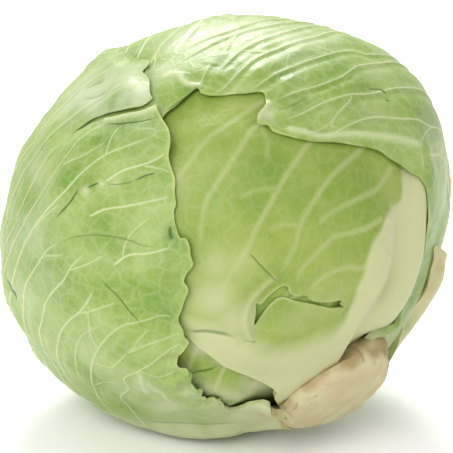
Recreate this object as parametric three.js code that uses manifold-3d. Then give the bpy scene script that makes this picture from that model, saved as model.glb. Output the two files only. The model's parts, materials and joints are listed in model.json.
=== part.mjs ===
// A smooth-leaved head cabbage lying on its side, in millimetres. X runs to the right, Y to the back and
// Z up. The origin is the middle of the flat spot that the head rests on.
import * as THREE from 'three';
import { mergeVertices } from 'three/addons/utils/BufferGeometryUtils.js';
import Module from 'manifold-3d';

// ---------------------------------------------------------------- driving dimensions

const head = {
  centreHeight: 72.5,  // middle of the head above the surface that it lies on
  longRadius: 78.5,    // half sizes of the round head, before its swellings
  shortRadius: 73.3,
  deepRadius: 79.5,
  longTurn: 33,       // how far the long axis is turned up from X, in degrees
  faceLean: 18,       // the plane of the long and short axes leans back by this, in degrees
};

// Places where the head bulges past its ellipsoid: turn in the face plane, height, and angle of spread.
const swellings = [
  { turn: 34, height: 11, spread: 32 },
  { turn: 126, height: 4.1, spread: 21 },
  { turn: 189, height: 6.3, spread: 32 },
];

const stump = {
  turn: -53,          // the stem points down to the right in the face plane, in degrees
  toFront: 20,        // and leans out of that plane towards the front
  halfAngle: 15,      // the stump is a cone about the stem axis, seen from the middle of the head
  cutDistance: 79.6,  // the cut end, from the middle of the head
  dome: 2.5,          // the cut end is a little higher in its middle
  rimDrop: 3.1,       // and rounded off at its rim
  highTurn: 190,      // the rim of the cut is highest at this turn,
  tilt: 1.1,          // since the cut leans over by this much from its middle,
  saddle: 1.2,        // and is bent by this much more
  rootGap: 0.4,       // the stump starts this far outside the heart
  cutRings: [0, 4, 8, 12, 14.2], // angles from the stem axis of the rings of points on the cut
  rootRings: [14.9, 12, 6, 0],   // and on the root side
  sides: 40,
};

// The stump is broader towards its lower left than round: the directions about this place, and what lies
// there, are drawn out that way by so many degrees. Outlines are given where they end up, but close to the
// stump, up to the angle baseTo, they go with it.
const drawOut = { angle: 18, turn: 62, by: 6.6, spread: 27, baseTo: 17, freeFrom: 27 };

const wrap = {
  gap: 1,             // clear space between one leaf and the next
  slack: 8,           // a leaf starts to settle on the next one this far beyond its edge
  settle: 15,         // and lies on it after this much more
  ease: 28,           // the heart makes room for a leaf over this far on each side of its edge
  baseHollow: 4.5,    // extra room round the stem, where the thick leaf bases meet
  baseSpread: 24,     // angle that this room spreads over
  frontFill: 0.85,    // the share of it that is filled again at the front, where one leaf base is on top,
  fillFrom: 4,        // from this angle to the stem axis on
  fillFull: 14,       // and fully from here
  closeUp: 0.35,      // the share of slack and settle that is left at the stem, where the bases crowd
  closeTo: 18,        // up to this angle from it,
  closeEnd: 45,       // and they have their full reach from here
  leafStart: 15.6,    // angle from the stem axis where the leaf bases begin
  bridgeRise: 1.25,   // a leaf rises over the midrib below it by this many times the midrib's height
  lowFrom: -0.8,      // directions steeper down than this can be pressed flat by the surface
};

const blade = {
  thickness: 1.2,
  baseThickness: 1.9, // added at the leaf base
  baseReach: 13,      // angle over which the base thins out
  veinHeight: 0.7,    // side veins stand up by this much
  veinsFrom: 30,      // they start to show at this angle from the stem axis
  veinsFull: 60,      // and have their full height from here
  edgeLift: 2.2,      // free edges wave away from the head by this much,
  edgeFrom: 0.7,      // over the part of each side from this share of it on,
  edgeClear: 20,      // not before this angle from the stem axis,
  edgeFull: 40,       // and fully from here
  waveMean: 0.45,     // the share of the lift that all rows have
  waveStep: 1.9,      // and how far the wave goes on from row to row, in radians
  edgeWave: 0.9,      // and in and out along the surface
  edgeThinning: 0.15, // the share of its thickness that a leaf loses towards its edge
};

// Side veins, by the angle at which they leave the midrib: where their sweep comes and goes, and where they
// turn from circles about the stem to the bend of the tip.
const veinPath = {
  sweepFrom: 25, sweepFull: 50, sweepFade: 80, sweepEnd: 110, tipStart: 85, tipFull: 135,
};

const flatSpot = { radius: 22, blend: 9, slope: -0.5 };

const heartMeshing = { rings: 24, sides: 32 };

// Leaves from the innermost to the outermost. midrib is the turn about the stem axis, 0 at the front and
// 90 at the lower left. An outline or tear point is [angle from the stem axis, turn about it]. Side veins
// run in circles about the stem: sweep says how much more they bend back towards it halfway up the leaf, and
// tipBend how much near its tip. A midrib ends at the angle end, and bridge is how many times its width the
// next leaf takes to cross it. One with fullFrom rises slowly from the stem to its height there.
const leaves = [
  {
    name: 'leaf_under', midrib: 50, tip: 97, rows: 17, sideColumns: 7, sweep: 0, tipBend: -0.6,
    rib: { height: 2, width: 6, baseWidth: 5, end: 80, bridge: 1.5 },
    outline: [[13, -2], [24, -18], [40, -30], [60, -28], [80, -10], [95, 18], [99, 52], [96, 80], [82, 100],
      [60, 108], [40, 108], [26, 108], [13, 95]],
  },
  {
    name: 'leaf_main', midrib: -68, tip: 128, rows: 26, sideColumns: 9, sweep: 0.16, tipBend: -0.4,
    rib: { height: 4.4, width: 5, baseWidth: 7, end: 95, bridge: 2.0, fullFrom: 23 },
    outline: [[13, 52], [18, 44], [24, 38], [33, 35], [42, 34.4], [49, 32.5], [54.4, 31.5], [59.5, 29.5],
      [66, 30], [78, 32], [92, 28], [104, 15], [114, -8], [123, -35], [129, -68], [120, -100], [100, -116],
      [75, -122], [50, -124], [30, -128], [13, -135]],
    tears: [[[44.6, 13.4], [48.5, 7.5], [48.5, 0], [47.5, -4], [42.5, -9], [37.5, -15], [32, -25.5],
      [34.5, -15], [40, -6.5], [44.8, -2], [45.6, 4], [44.8, 10]]],
  },
  {
    name: 'leaf_back', midrib: 172, tip: 150, rows: 24, sideColumns: 7, sweep: 0, tipBend: -0.45,
    rib: { height: 2.2, width: 5.5, baseWidth: 6, end: 130, bridge: 1.5 },
    outline: [[13, 120], [26, 108], [45, 104], [70, 100], [95, 104], [118, 115], [138, 138], [150, 172],
      [150, 212], [128, 232], [95, 242], [70, 246], [45, 244], [26, 240], [13, 225]],
  },
  {
    name: 'leaf_top', midrib: -107, tip: 195, rows: 41, sideColumns: 9, sweep: 0, tipBend: 0.05,
    rib: { height: 1.4, width: 5, baseWidth: 5, end: 160, bridge: 1.5 },
    outline: [[13, -75], [20, -77], [26, -80], [33, -79.5], [41, -74], [48, -70], [55, -69], [58, -67], [62, -61],
      [68, -51], [74, -39], [78, -29], [83, -24], [87, -22], [89, -27], [94, -29], [98, -24], [100, -18],
      [105, -16], [105, -9], [103, 2], [112, 18], [126, 34], [142, 44], [156, 60], [166, 95], [168, 145],
      [160, 192], [142, 210], [120, 216], [95, 216], [70, 216], [45, 218], [28, 222], [13, 228]],
  },
  {
    name: 'leaf_left', midrib: 97, tip: 190, rows: 40, sideColumns: 10, sweep: 0, tipBend: -0.12,
    rib: { height: 2, width: 5, baseWidth: 5, end: 165, bridge: 1.5 },
    outline: [[13, 72], [18, 64], [27, 49], [33, 62], [42, 52], [47, 45], [51, 41], [54, 34], [60, 27],
      [63, 20], [65, 19], [68, 13], [75, 11], [81, 8], [85, 4], [92, 0], [98, -3], [105, -2], [110, -3],
      [115, -7], [124, -9], [128, -13], [140, -15], [154, -17], [164, -50], [170, -107], [168, -145],
      [158, 212], [140, 206], [120, 200], [100, 192], [80, 184], [60, 172], [42, 160], [28, 145],
      [13, 120]],
    tears: [[[105, -8], [107, -1], [114, 9], [121.5, 21], [120, 12.5], [112.5, 3.6], [108.8, -2.6], [109, -9]]],
  },
  {
    name: 'leaf_stub', midrib: -122, tip: 49, rows: 9, sideColumns: 3, sweep: 0, tipBend: 0,
    cutEnd: true,
    rib: { height: 2.4, width: 30, baseWidth: 0, end: 400, bridge: 1, fullFrom: 48 },
    outline: [[13, -132], [17, -126], [26, -109], [36, -100], [50, -95.5], [50, -128], [36, -135],
      [26, -146], [17, -156], [13, -158]],
  },
];

const colours = {
  heart: '#c9d98a', stem: '#d8c8a2', leaf_under: '#bcd07c', leaf_main: '#bccf7e', leaf_back: '#b4cc72',
  leaf_top: '#b9d182', leaf_left: '#b5cf70', leaf_stub: '#dcd6a4',
};

// ---------------------------------------------------------------- directions

const { degToRad: radians, smoothstep, lerp, clamp } = THREE.MathUtils;
const centre = new THREE.Vector3(0, 0, head.centreHeight);
const across = new THREE.Vector3(1, 0, 0);
const upFace = new THREE.Vector3(0, Math.sin(radians(head.faceLean)), Math.cos(radians(head.faceLean)));
const front = new THREE.Vector3(0, -Math.cos(radians(head.faceLean)), Math.sin(radians(head.faceLean)));

const inFace = (turn) => across.clone().multiplyScalar(Math.cos(radians(turn)))
  .addScaledVector(upFace, Math.sin(radians(turn)));

// The stem axis is the pole of all angles and turns below: it points out of the head through the stump.
const stemAxis = inFace(stump.turn).multiplyScalar(Math.cos(radians(stump.toFront)))
  .addScaledVector(front, Math.sin(radians(stump.toFront)));
const frontSide = front.clone().addScaledVector(stemAxis, -front.dot(stemAxis)).normalize();
const leftSide = new THREE.Vector3().crossVectors(stemAxis, frontSide);

// A turn of 0 about the stem axis faces the front.
const sideAt = (turn) => frontSide.clone().multiplyScalar(Math.cos(radians(turn)))
  .addScaledVector(leftSide, Math.sin(radians(turn)));
const directionAt = (angle, turn) => stemAxis.clone().multiplyScalar(Math.cos(radians(angle)))
  .addScaledVector(sideAt(turn), Math.sin(radians(angle)));
const angleFromStem = (dir) => Math.acos(clamp(dir.dot(stemAxis), -1, 1)) / radians(1);

const drawSide = sideAt(drawOut.turn);
const drawMiddle = directionAt(drawOut.angle, drawOut.turn);

// Where a direction comes to lie once the stump's lower left is drawn out.
function drawnOut(dir) {
  const away = 1 - dir.dot(drawMiddle);
  const shift = Math.tan(radians(drawOut.by)) * Math.exp(-away / (1 - Math.cos(radians(drawOut.spread))));
  return dir.clone().addScaledVector(drawSide, shift).normalize();
}

// The direction that is drawn out to this place of an outline.
function drawnIn(angle, turn) {
  const place = directionAt(angle, turn);
  const start = place.clone();
  for (let pass = 0; pass < 6; pass += 1) {
    const past = drawnOut(start).sub(place);
    start.sub(past).normalize();
  }
  return directionAt(angle, turn).lerp(start, smoothstep(angle, drawOut.baseTo, drawOut.freeFrom)).normalize();
}

const longAxis = inFace(head.longTurn);
const shortAxis = inFace(head.longTurn + 90);

function headRadius(dir) {
  const long = dir.dot(longAxis) / head.longRadius;
  const short = dir.dot(shortAxis) / head.shortRadius;
  const deep = dir.dot(front) / head.deepRadius;
  let radius = 1 / Math.hypot(long, short, deep);
  for (const { turn, height, spread } of swellings) {
    const away = 1 - dir.dot(inFace(turn));
    radius += height * Math.exp(-away / (1 - Math.cos(radians(spread))));
  }
  return radius;
}

// ---------------------------------------------------------------- leaf charts and outlines

// A leaf is drawn on a flat chart that touches the head at the middle of its midrib: x runs to the leaf's
// tip and y to its side. A circle on the head is a circle on the chart, whose unit is a head radius.
const edgePoints = 150;
for (const leaf of leaves) {
  leaf.out = sideAt(leaf.midrib);
  leaf.toTip = stemAxis.clone().negate();
  leaf.toSide = new THREE.Vector3().crossVectors(stemAxis, leaf.out);
  const corners = leaf.outline.map(([angle, turn]) => {
    const [x, y] = toChart(leaf, drawnIn(angle, turn));
    return new THREE.Vector3(x, y, 0);
  });
  leaf.edge = leaf.cutEnd ? corners : new THREE.CatmullRomCurve3(corners, true).getSpacedPoints(edgePoints);
}

function toChart(leaf, dir) {
  const depth = 1 + dir.dot(leaf.out);
  return [2 * dir.dot(leaf.toTip) / depth, 2 * dir.dot(leaf.toSide) / depth];
}

function fromChart(leaf, x, y) {
  const q = (x * x + y * y) / 4;
  return leaf.out.clone().multiplyScalar(1 - q).addScaledVector(leaf.toTip, x)
    .addScaledVector(leaf.toSide, y).divideScalar(1 + q);
}

// Distance to a leaf's edge in chart units, above 0 inside it.
function insideBy(leaf, x, y) {
  let inside = false;
  let nearest = Infinity;
  const { edge } = leaf;
  for (let i = 0, j = edge.length - 1; i < edge.length; j = i, i += 1) {
    const a = edge[j];
    const b = edge[i];
    if ((a.y > y) !== (b.y > y) && x < a.x + (b.x - a.x) * (y - a.y) / (b.y - a.y)) inside = !inside;
    const length = (b.x - a.x) ** 2 + (b.y - a.y) ** 2 || 1;
    const along = clamp(((x - a.x) * (b.x - a.x) + (y - a.y) * (b.y - a.y)) / length, 0, 1);
    nearest = Math.min(nearest, Math.hypot(x - a.x - along * (b.x - a.x), y - a.y - along * (b.y - a.y)));
  }
  return inside ? nearest : -nearest;
}

// A share of 1 inside a leaf and 0 outside it, which changes between two distances from its edge in
// millimetres. No leaf reaches round to the far side of its chart.
function share(leaf, dir, from, to) {
  const farSide = -0.85;
  if (dir.dot(leaf.out) < farSide) return 0;
  const [x, y] = toChart(leaf, dir);
  const millimetres = insideBy(leaf, x, y) * head.longRadius / (1 + (x * x + y * y) / 4);
  return smoothstep(millimetres, from, to);
}

// How much of a leaf's height is felt by a leaf on top of it.
function cover(leaf, dir) {
  const full = smoothstep(angleFromStem(dir), wrap.closeTo, wrap.closeEnd);
  const reach = wrap.closeUp + (1 - wrap.closeUp) * full;
  return share(leaf, dir, -(wrap.slack + wrap.settle) * reach, -wrap.slack * reach);
}

// ---------------------------------------------------------------- heights above the heart

const baseFade = (angle) => Math.exp(-(angle - wrap.leafStart) / blade.baseReach);
const bladeThickness = (angle) => blade.thickness + blade.baseThickness * baseFade(angle);
const veinHeight = (angle) => blade.veinHeight * smoothstep(angle, blade.veinsFrom, blade.veinsFull);

// Height of the midrib over the blade. wider is above 1 where a leaf on top has to bridge it.
function ribHeight(leaf, dir, wider) {
  const angle = angleFromStem(dir);
  const nearTip = 150;
  if (dir.dot(leaf.out) < 0 && angle < nearTip) return 0;
  const { height, width, baseWidth, end, fullFrom } = leaf.rib;
  const spread = width * wider + baseWidth * baseFade(angle);
  const rise = fullFrom ? smoothstep(angle, wrap.leafStart, fullFrom) : 1;
  const fade = rise * (1 - smoothstep(angle, end * 0.35, end));
  return height * fade * Math.exp(-((dir.dot(leaf.toSide) * head.longRadius / spread) ** 2));
}

// What a leaf adds under the next one, which bridges its midrib in a wider and higher curve.
function leafPitch(leaf, dir) {
  const angle = angleFromStem(dir);
  return bladeThickness(angle) + veinHeight(angle) + wrap.gap
    + ribHeight(leaf, dir, leaf.rib.bridge) * wrap.bridgeRise;
}

// Height of the underside of the leaf at this place in the order, above the heart.
function stackHeight(dir, count) {
  let height = wrap.gap;
  for (let i = 0; i < count; i += 1) {
    const felt = cover(leaves[i], dir);
    if (felt > 0) height += felt * leafPitch(leaves[i], dir);
  }
  return height;
}

const outermost = leaves.findIndex((leaf) => leaf.name === 'leaf_left');

// The heart is smaller than the head by what its wrapper leaves take up, and flattened just as much as puts
// the outermost leaf flat on the surface.
function heartRadius(dir) {
  const angle = angleFromStem(dir);
  const layer = bladeThickness(angle) + veinHeight(angle) + wrap.gap;
  const toFront = (1 + dir.dot(frontSide) / Math.max(Math.sin(radians(angle)), 0.01)) / 2;
  const filled = wrap.frontFill * toFront * smoothstep(angle, wrap.fillFrom, wrap.fillFull);
  const hollow = wrap.baseHollow * (1 - filled) * Math.exp(-((angle / wrap.baseSpread) ** 2));
  const layers = leaves.reduce((sum, leaf) => sum + share(leaf, dir, -wrap.ease, wrap.ease), 0);
  const place = drawnOut(dir);
  const free = headRadius(place) - layer * layers - hollow;
  if (place.z > wrap.lowFrom) return free;
  const toSurface = head.centreHeight / -place.z;
  const pressed = toSurface - stackHeight(dir, outermost) - bladeThickness(angle);
  return Math.min(free, pressed);
}

// 0 on the flat spot, where leaves have no veins standing up, and 1 away from it.
function offFlat(dir) {
  const { x, y, z } = drawnOut(dir);
  if (z > flatSpot.slope) return 1;
  const away = Math.hypot(x, y) / -z * head.centreHeight;
  return smoothstep(away, flatSpot.radius, flatSpot.radius + flatSpot.blend);
}

const placeOut = (dir, radius) => drawnOut(dir).multiplyScalar(radius).add(centre);

// A point that comes out within a hair of the surface lies on it, which keeps the flat spot flat.
function placeAt(dir, radius) {
  const hair = 0.05;
  const point = placeOut(dir, radius);
  if (point.z < hair) point.z = 0;
  return point;
}

// ---------------------------------------------------------------- leaves

// The curve of a side vein on the chart: an arc that leaves the midrib at this angle from the stem.
function veinCurve(leaf, angle) {
  const x0 = 2 * Math.tan(radians(angle - 90) / 2);
  const { sweepFrom, sweepFull, sweepFade, sweepEnd, tipStart, tipFull } = veinPath;
  const midway = smoothstep(angle, sweepFrom, sweepFull) * (1 - smoothstep(angle, sweepFade, sweepEnd));
  const circling = 0.5 / Math.tan(radians(Math.min(angle, tipFull)));
  const bend = lerp(circling, leaf.tipBend, smoothstep(angle, tipStart, tipFull)) + leaf.sweep * midway;
  if (Math.abs(bend) < 1e-4) return (v) => [x0, v];
  return (v) => [x0 - (1 - Math.cos(bend * v)) / bend, Math.sin(bend * v) / bend];
}

// One row of chart points across the leaf, along a side vein. Each side has sideColumns points between the
// flank of the midrib and the leaf's edge, and out goes from 0 to 1 between them.
function rowPoints(leaf, angle, wave) {
  const at = veinCurve(leaf, angle);
  const step = 0.02;
  const farthest = 3;
  const flankShare = 0.9;
  const mostOfSide = 0.4;
  const reach = (sign) => {
    let far = 0;
    while (far < farthest && insideBy(leaf, ...at(sign * (far + step))) > 0) far += step;
    return far;
  };
  const scale = (1 + at(0)[0] ** 2 / 4) / head.longRadius;
  const row = [];
  for (const sign of [-1, 1]) {
    const far = Math.max(reach(sign) - wave * scale, step);
    const first = Math.min(leaf.rib.width * flankShare * scale, far * mostOfSide);
    for (let k = 1; k <= leaf.sideColumns; k += 1) {
      const v = first + (far - first) * (k - 1) / (leaf.sideColumns - 1);
      const point = { at: at(sign * v), out: (k - 1) / (leaf.sideColumns - 1) };
      if (sign < 0) row.unshift(point);
      else row.push(point);
    }
    if (sign < 0) row.push({ at: at(0), out: 0 });
  }
  return row;
}

// How far a leaf's free edge stands off, in a wave that follows no other leaf's.
function edgeLift(leaf, index, dir, row, out) {
  const above = leaves.slice(index + 1).map((other) => cover(other, dir));
  const free = 1 - Math.max(0, ...above);
  const margin = smoothstep(out, blade.edgeFrom, 1)
    * smoothstep(angleFromStem(dir), blade.edgeClear, blade.edgeFull);
  const wave = blade.waveMean + (1 - blade.waveMean) * Math.cos(row * blade.waveStep + index);
  return Math.max(wave, 0) * blade.edgeLift * margin * free * offFlat(dir);
}

// Two skins of points in rows, an outer and an inner one, with triangles alike on both, and a rim.
function leafMesh(leaf, index) {
  const positions = [];
  const columns = leaf.sideColumns * 2 + 1;
  const tipRoom = 1.5;
  const span = leaf.tip - tipRoom - wrap.leafStart;
  for (let i = 0; i < leaf.rows; i += 1) {
    const onVein = i % 2;
    const rowAngle = wrap.leafStart + span * i / (leaf.rows - 1);
    for (const { at, out } of rowPoints(leaf, rowAngle, onVein * blade.edgeWave)) {
      const dir = fromChart(leaf, ...at);
      const angle = angleFromStem(dir);
      const lift = edgeLift(leaf, index, dir, i, out);
      const inner = heartRadius(dir) + stackHeight(dir, index) + lift;
      const vein = veinHeight(angle) * onVein * (1 - out * out);
      const relief = (vein + ribHeight(leaf, dir, 1)) * offFlat(dir);
      const outer = inner + bladeThickness(angle) * (1 - blade.edgeThinning * out) + relief;
      positions.push(placeAt(dir, outer), placeAt(dir, inner));
    }
  }

  const top = (i, j) => 2 * (i * columns + j);
  const under = (i, j) => top(i, j) + 1;
  const faces = [];
  for (let i = 0; i < leaf.rows - 1; i += 1) {
    for (let j = 0; j < columns - 1; j += 1) {
      faces.push(top(i, j), top(i + 1, j), top(i + 1, j + 1), top(i, j), top(i + 1, j + 1), top(i, j + 1));
      faces.push(under(i, j), under(i + 1, j + 1), under(i + 1, j));
      faces.push(under(i, j), under(i, j + 1), under(i + 1, j + 1));
    }
  }
  const rim = [];
  for (let j = 0; j < columns - 1; j += 1) rim.push([0, j]);
  for (let i = 0; i < leaf.rows - 1; i += 1) rim.push([i, columns - 1]);
  for (let j = columns - 1; j > 0; j -= 1) rim.push([leaf.rows - 1, j]);
  for (let i = leaf.rows - 1; i > 0; i -= 1) rim.push([i, 0]);
  rim.forEach(([i, j], n) => {
    const [k, l] = rim[(n + 1) % rim.length];
    faces.push(top(i, j), top(k, l), under(k, l), top(i, j), under(k, l), under(i, j));
  });
  const geometry = new THREE.BufferGeometry().setFromPoints(positions).setIndex(faces);
  return solid(leaf.name, leaf.tears ? tornGeometry(leaf, geometry) : geometry);
}

// ---------------------------------------------------------------- heart and stem

// A closed shape round the stem axis: rings of points between one point on the axis and another.
function ringedSolid(name, rings, sides, pointAt) {
  const positions = [pointAt(0, 0)];
  for (let i = 1; i < rings; i += 1) {
    for (let j = 0; j < sides; j += 1) positions.push(pointAt(i, 360 * j / sides));
  }
  positions.push(pointAt(rings, 0));
  const last = positions.length - 1;
  const at = (i, j) => 1 + (i - 1) * sides + (j % sides);
  const faces = [];
  for (let j = 0; j < sides; j += 1) {
    faces.push(0, at(1, j), at(1, j + 1));
    for (let i = 1; i < rings - 1; i += 1) {
      faces.push(at(i, j), at(i + 1, j), at(i + 1, j + 1), at(i, j), at(i + 1, j + 1), at(i, j + 1));
    }
    faces.push(at(rings - 1, j), last, at(rings - 1, j + 1));
  }
  return solid(name, new THREE.BufferGeometry().setFromPoints(positions).setIndex(faces));
}

function heartMesh() {
  const { rings, sides } = heartMeshing;
  return ringedSolid('heart', rings, sides, (i, turn) => {
    const dir = directionAt(180 * i / rings, turn);
    return placeAt(dir, heartRadius(dir));
  });
}

// The stump starts just clear of the heart, widens along its cone and ends in the cut.
function stemMesh() {
  const { halfAngle, cutDistance, dome, rimDrop, cutRings, rootRings } = stump;
  const profile = [
    ...cutRings.map((angle) => ({ angle, drop: 0 })),
    { angle: halfAngle, drop: rimDrop },
    ...rootRings.map((angle) => ({ angle, onRoot: true })),
  ];
  return ringedSolid('stem', profile.length - 1, stump.sides, (i, turn) => {
    const { angle, drop, onRoot } = profile[i];
    const dir = directionAt(angle, turn);
    if (onRoot) return placeAt(dir, heartRadius(dir) + stump.rootGap);
    const flat = cutDistance / Math.cos(radians(angle));
    const outward = angle / halfAngle;
    const past = radians(turn - stump.highTurn);
    const rim = stump.tilt * Math.cos(past) + stump.saddle * Math.cos(2 * past);
    return placeAt(dir, flat + dome * (1 - outward ** 2) + rim * outward ** 2 - drop);
  });
}

// ---------------------------------------------------------------- tears

const wasm = await Module();
wasm.setup();

function toManifold(geometry) {
  const bare = new THREE.BufferGeometry();
  bare.setAttribute('position', geometry.getAttribute('position'));
  bare.setIndex(geometry.index);
  const merged = mergeVertices(bare, 1e-4);
  return new wasm.Manifold(new wasm.Mesh({
    numProp: 3,
    vertProperties: new Float32Array(merged.getAttribute('position').array),
    triVerts: new Uint32Array(merged.index.array),
  }));
}

// A plug of the tear's outline that runs straight out from the middle of the head, from inside the leaf to
// outside it.
function tearPlug(leaf, tear) {
  const from = head.shortRadius * 0.6;
  const to = head.longRadius * 1.5;
  const flat = tear.map(([angle, turn]) => new THREE.Vector2(...toChart(leaf, drawnIn(angle, turn))));
  if (THREE.ShapeUtils.isClockWise(flat)) flat.reverse();
  const positions = flat.flatMap(({ x, y }) => [
    placeOut(fromChart(leaf, x, y), from),
    placeOut(fromChart(leaf, x, y), to),
  ]);
  const faces = [];
  for (const [a, b, c] of THREE.ShapeUtils.triangulateShape(flat, [])) {
    faces.push(2 * a + 1, 2 * b + 1, 2 * c + 1, 2 * a, 2 * c, 2 * b);
  }
  for (let i = 0; i < flat.length; i += 1) {
    const next = (i + 1) % flat.length;
    faces.push(2 * i, 2 * next, 2 * next + 1, 2 * i, 2 * next + 1, 2 * i + 1);
  }
  return toManifold(new THREE.BufferGeometry().setFromPoints(positions).setIndex(faces));
}

function tornGeometry(leaf, geometry) {
  let body = toManifold(geometry);
  for (const tear of leaf.tears) body = body.subtract(tearPlug(leaf, tear));
  const { vertProperties, triVerts } = body.getMesh();
  const torn = new THREE.BufferGeometry();
  torn.setAttribute('position', new THREE.BufferAttribute(vertProperties, 3));
  torn.setIndex(new THREE.BufferAttribute(triVerts, 1));
  return torn;
}

// ---------------------------------------------------------------- meshes

function solid(name, geometry) {
  geometry.computeVertexNormals();
  const material = new THREE.MeshStandardMaterial({ color: colours[name], roughness: 0.5, metalness: 0 });
  const mesh = new THREE.Mesh(geometry, material);
  mesh.name = name;
  return mesh;
}

const cabbage = new THREE.Group();
cabbage.add(heartMesh(), stemMesh(), ...leaves.map(leafMesh));

export default cabbage;
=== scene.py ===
# A cut head of smooth-leaved cabbage, lying on its side on a pale floor.
# Its forms are worked out in millimetres from the same values as its solids, and go to metres in toPlace.
import json
import math
import bmesh
import bpy
import numpy as np
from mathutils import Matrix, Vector, noise


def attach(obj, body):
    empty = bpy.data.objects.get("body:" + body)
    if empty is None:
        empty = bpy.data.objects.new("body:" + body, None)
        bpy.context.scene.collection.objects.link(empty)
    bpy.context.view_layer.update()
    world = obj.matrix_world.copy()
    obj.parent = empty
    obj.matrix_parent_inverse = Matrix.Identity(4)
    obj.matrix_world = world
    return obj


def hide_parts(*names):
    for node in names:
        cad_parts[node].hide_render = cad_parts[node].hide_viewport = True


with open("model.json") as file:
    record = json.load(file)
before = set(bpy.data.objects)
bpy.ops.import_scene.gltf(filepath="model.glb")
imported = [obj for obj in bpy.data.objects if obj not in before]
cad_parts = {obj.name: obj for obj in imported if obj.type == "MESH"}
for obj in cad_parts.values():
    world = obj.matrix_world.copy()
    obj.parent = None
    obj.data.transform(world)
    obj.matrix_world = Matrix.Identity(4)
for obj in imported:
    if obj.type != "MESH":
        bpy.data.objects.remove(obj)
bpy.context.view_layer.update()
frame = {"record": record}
slotOf = {entry["node"]: entry["material_slot"] for entry in frame["record"]["subparts"]}
mm = 0.001


# The camera stands at the front, a little above the head.
view = {"distance": 0.8, "elevation": 18, "aim": (0.0008, 0.0, 0.0715), "frameWidth": 0.1676, "sensor": 36}


def addCamera():
    rise = math.radians(view["elevation"])
    aim = Vector(view["aim"])
    place = aim + view["distance"] * Vector((0, -math.cos(rise), math.sin(rise)))
    bpy.ops.object.camera_add(location=place, rotation=(math.pi / 2 - rise, 0, 0))
    camera = bpy.context.object
    camera.name = "main_camera"
    camera.data.sensor_width = view["sensor"]
    camera.data.lens = view["sensor"] * view["distance"] / view["frameWidth"]
    bpy.context.scene.camera = camera


addCamera()
print("camera set")


# The head's widest plane faces the front and leans back. Turns in it go from the right to the top.
head = {
    "centreHeight": 72.5, "longRadius": 78.5, "shortRadius": 73.3, "deepRadius": 79.5,
    "longTurn": 33, "faceLean": 18,
}
swellings = [(34, 11, 32), (126, 4.1, 21), (189, 6.3, 32)]  # turn in that plane, height, spread in degrees
stump = {"turn": -53, "toFront": 20, "halfAngle": 15}
# The stump is broader on one side than round: what lies round this place is drawn out that way.
drawOut = {"angle": 18, "turn": 62, "by": 6.6, "spread": 27, "baseTo": 17, "freeFrom": 27, "rounds": 6}
flatSpot = {  # where the head rests
    "radius": 22, "blend": 9,
    "pressBelow": -0.8, "freeAbove": -0.5,  # heights of a direction
    "snap": 0.05,  # what comes this near to the floor lies on it
}
blade = {
    "thickness": 1.2, "baseThickness": 1.9, "baseReach": 13,
    "veinHeight": 0.7, "veinsGrow": (30, 60),  # room that is left for veins, and the angles it grows over
}
wrap = {  # how the leaves lie on each other
    "gap": 1.0, "leafStart": 15.6,
    "slack": 8, "settle": 15,  # past an edge below, a leaf stays up for so long and comes down over so long,
    "closeUp": 0.35, "closeUpTo": (18, 45),  # and sooner near the stem
    "ease": 28,  # the heart sinks this gently under the leaves' edges
    "baseHollow": 4.5, "baseSpread": 24,  # it is hollow round the stem,
    "frontFill": 0.85, "fillOver": (4, 14),  # but less so at the front
    "ribFade": 0.35, "ribFar": 150,  # a midrib gets lower from this share of its end on
    "bridgeRise": 1.25,  # a leaf bridges a midrib below with some air
}
chartEnd = -0.85  # how far round the head a leaf's chart is used
farOutside = -200.0
noiseSteps = (7.3, 3.1, 5.7)  # between the patterns of two seeds

lean = math.radians(head["faceLean"])
centre = np.array([0, 0, head["centreHeight"]], float)
across = np.array([1.0, 0.0, 0.0])
upFace = np.array([0.0, math.sin(lean), math.cos(lean)])
front = np.array([0.0, -math.cos(lean), math.sin(lean)])


def eased(share):
    share = np.clip(share, 0, 1)
    return share * share * (3 - 2 * share)


def smooth(x, low, high):
    return eased((np.asarray(x, float) - low) / (high - low))


def bell(x, reach):
    return np.exp(-(x / reach) ** 2)


def bellRound(d, middle, spread):
    return np.exp(-(1 - d @ middle) / (1 - math.cos(math.radians(spread))))


def inFace(turn):
    return math.cos(math.radians(turn)) * across + math.sin(math.radians(turn)) * upFace


stemAxis = math.cos(math.radians(stump["toFront"])) * inFace(stump["turn"]) \
    + math.sin(math.radians(stump["toFront"])) * front
frontSide = front - front.dot(stemAxis) * stemAxis
frontSide /= np.linalg.norm(frontSide)
leftSide = np.cross(stemAxis, frontSide)


# A place on the head is given as an angle from the stem axis and a turn about it. Turn 0 is the front.
def sideAt(turn):
    turn = np.radians(turn)
    return np.multiply.outer(np.cos(turn), frontSide) + np.multiply.outer(np.sin(turn), leftSide)


def directionAt(angle, turn):
    angle = np.radians(angle)
    return np.multiply.outer(np.cos(angle), stemAxis) + np.sin(angle)[..., None] * sideAt(turn)


def angleFromStem(d):
    return np.degrees(np.arccos(np.clip(d @ stemAxis, -1, 1)))


def turnOf(d):
    return np.degrees(np.arctan2(d @ leftSide, d @ frontSide))


def unit(d):
    return d / np.linalg.norm(d, axis=1, keepdims=True)


def drawnOut(d):
    middle = directionAt(np.array([float(drawOut["angle"])]), np.array([float(drawOut["turn"])]))[0]
    shift = math.tan(math.radians(drawOut["by"])) * bellRound(d, middle, drawOut["spread"])
    return unit(d + shift[:, None] * sideAt(drawOut["turn"]))


# The directions that are drawn out to these places. Outlines are given where they end up, except close to the
# stump.
def drawnIn(angle, turn):
    angle = np.atleast_1d(np.asarray(angle, float))
    place = directionAt(angle, np.atleast_1d(np.asarray(turn, float)))
    start = place.copy()
    for _ in range(drawOut["rounds"]):
        start = unit(start + place - drawnOut(start))
    return unit(place + (start - place) * smooth(angle, drawOut["baseTo"], drawOut["freeFrom"])[:, None])


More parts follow.
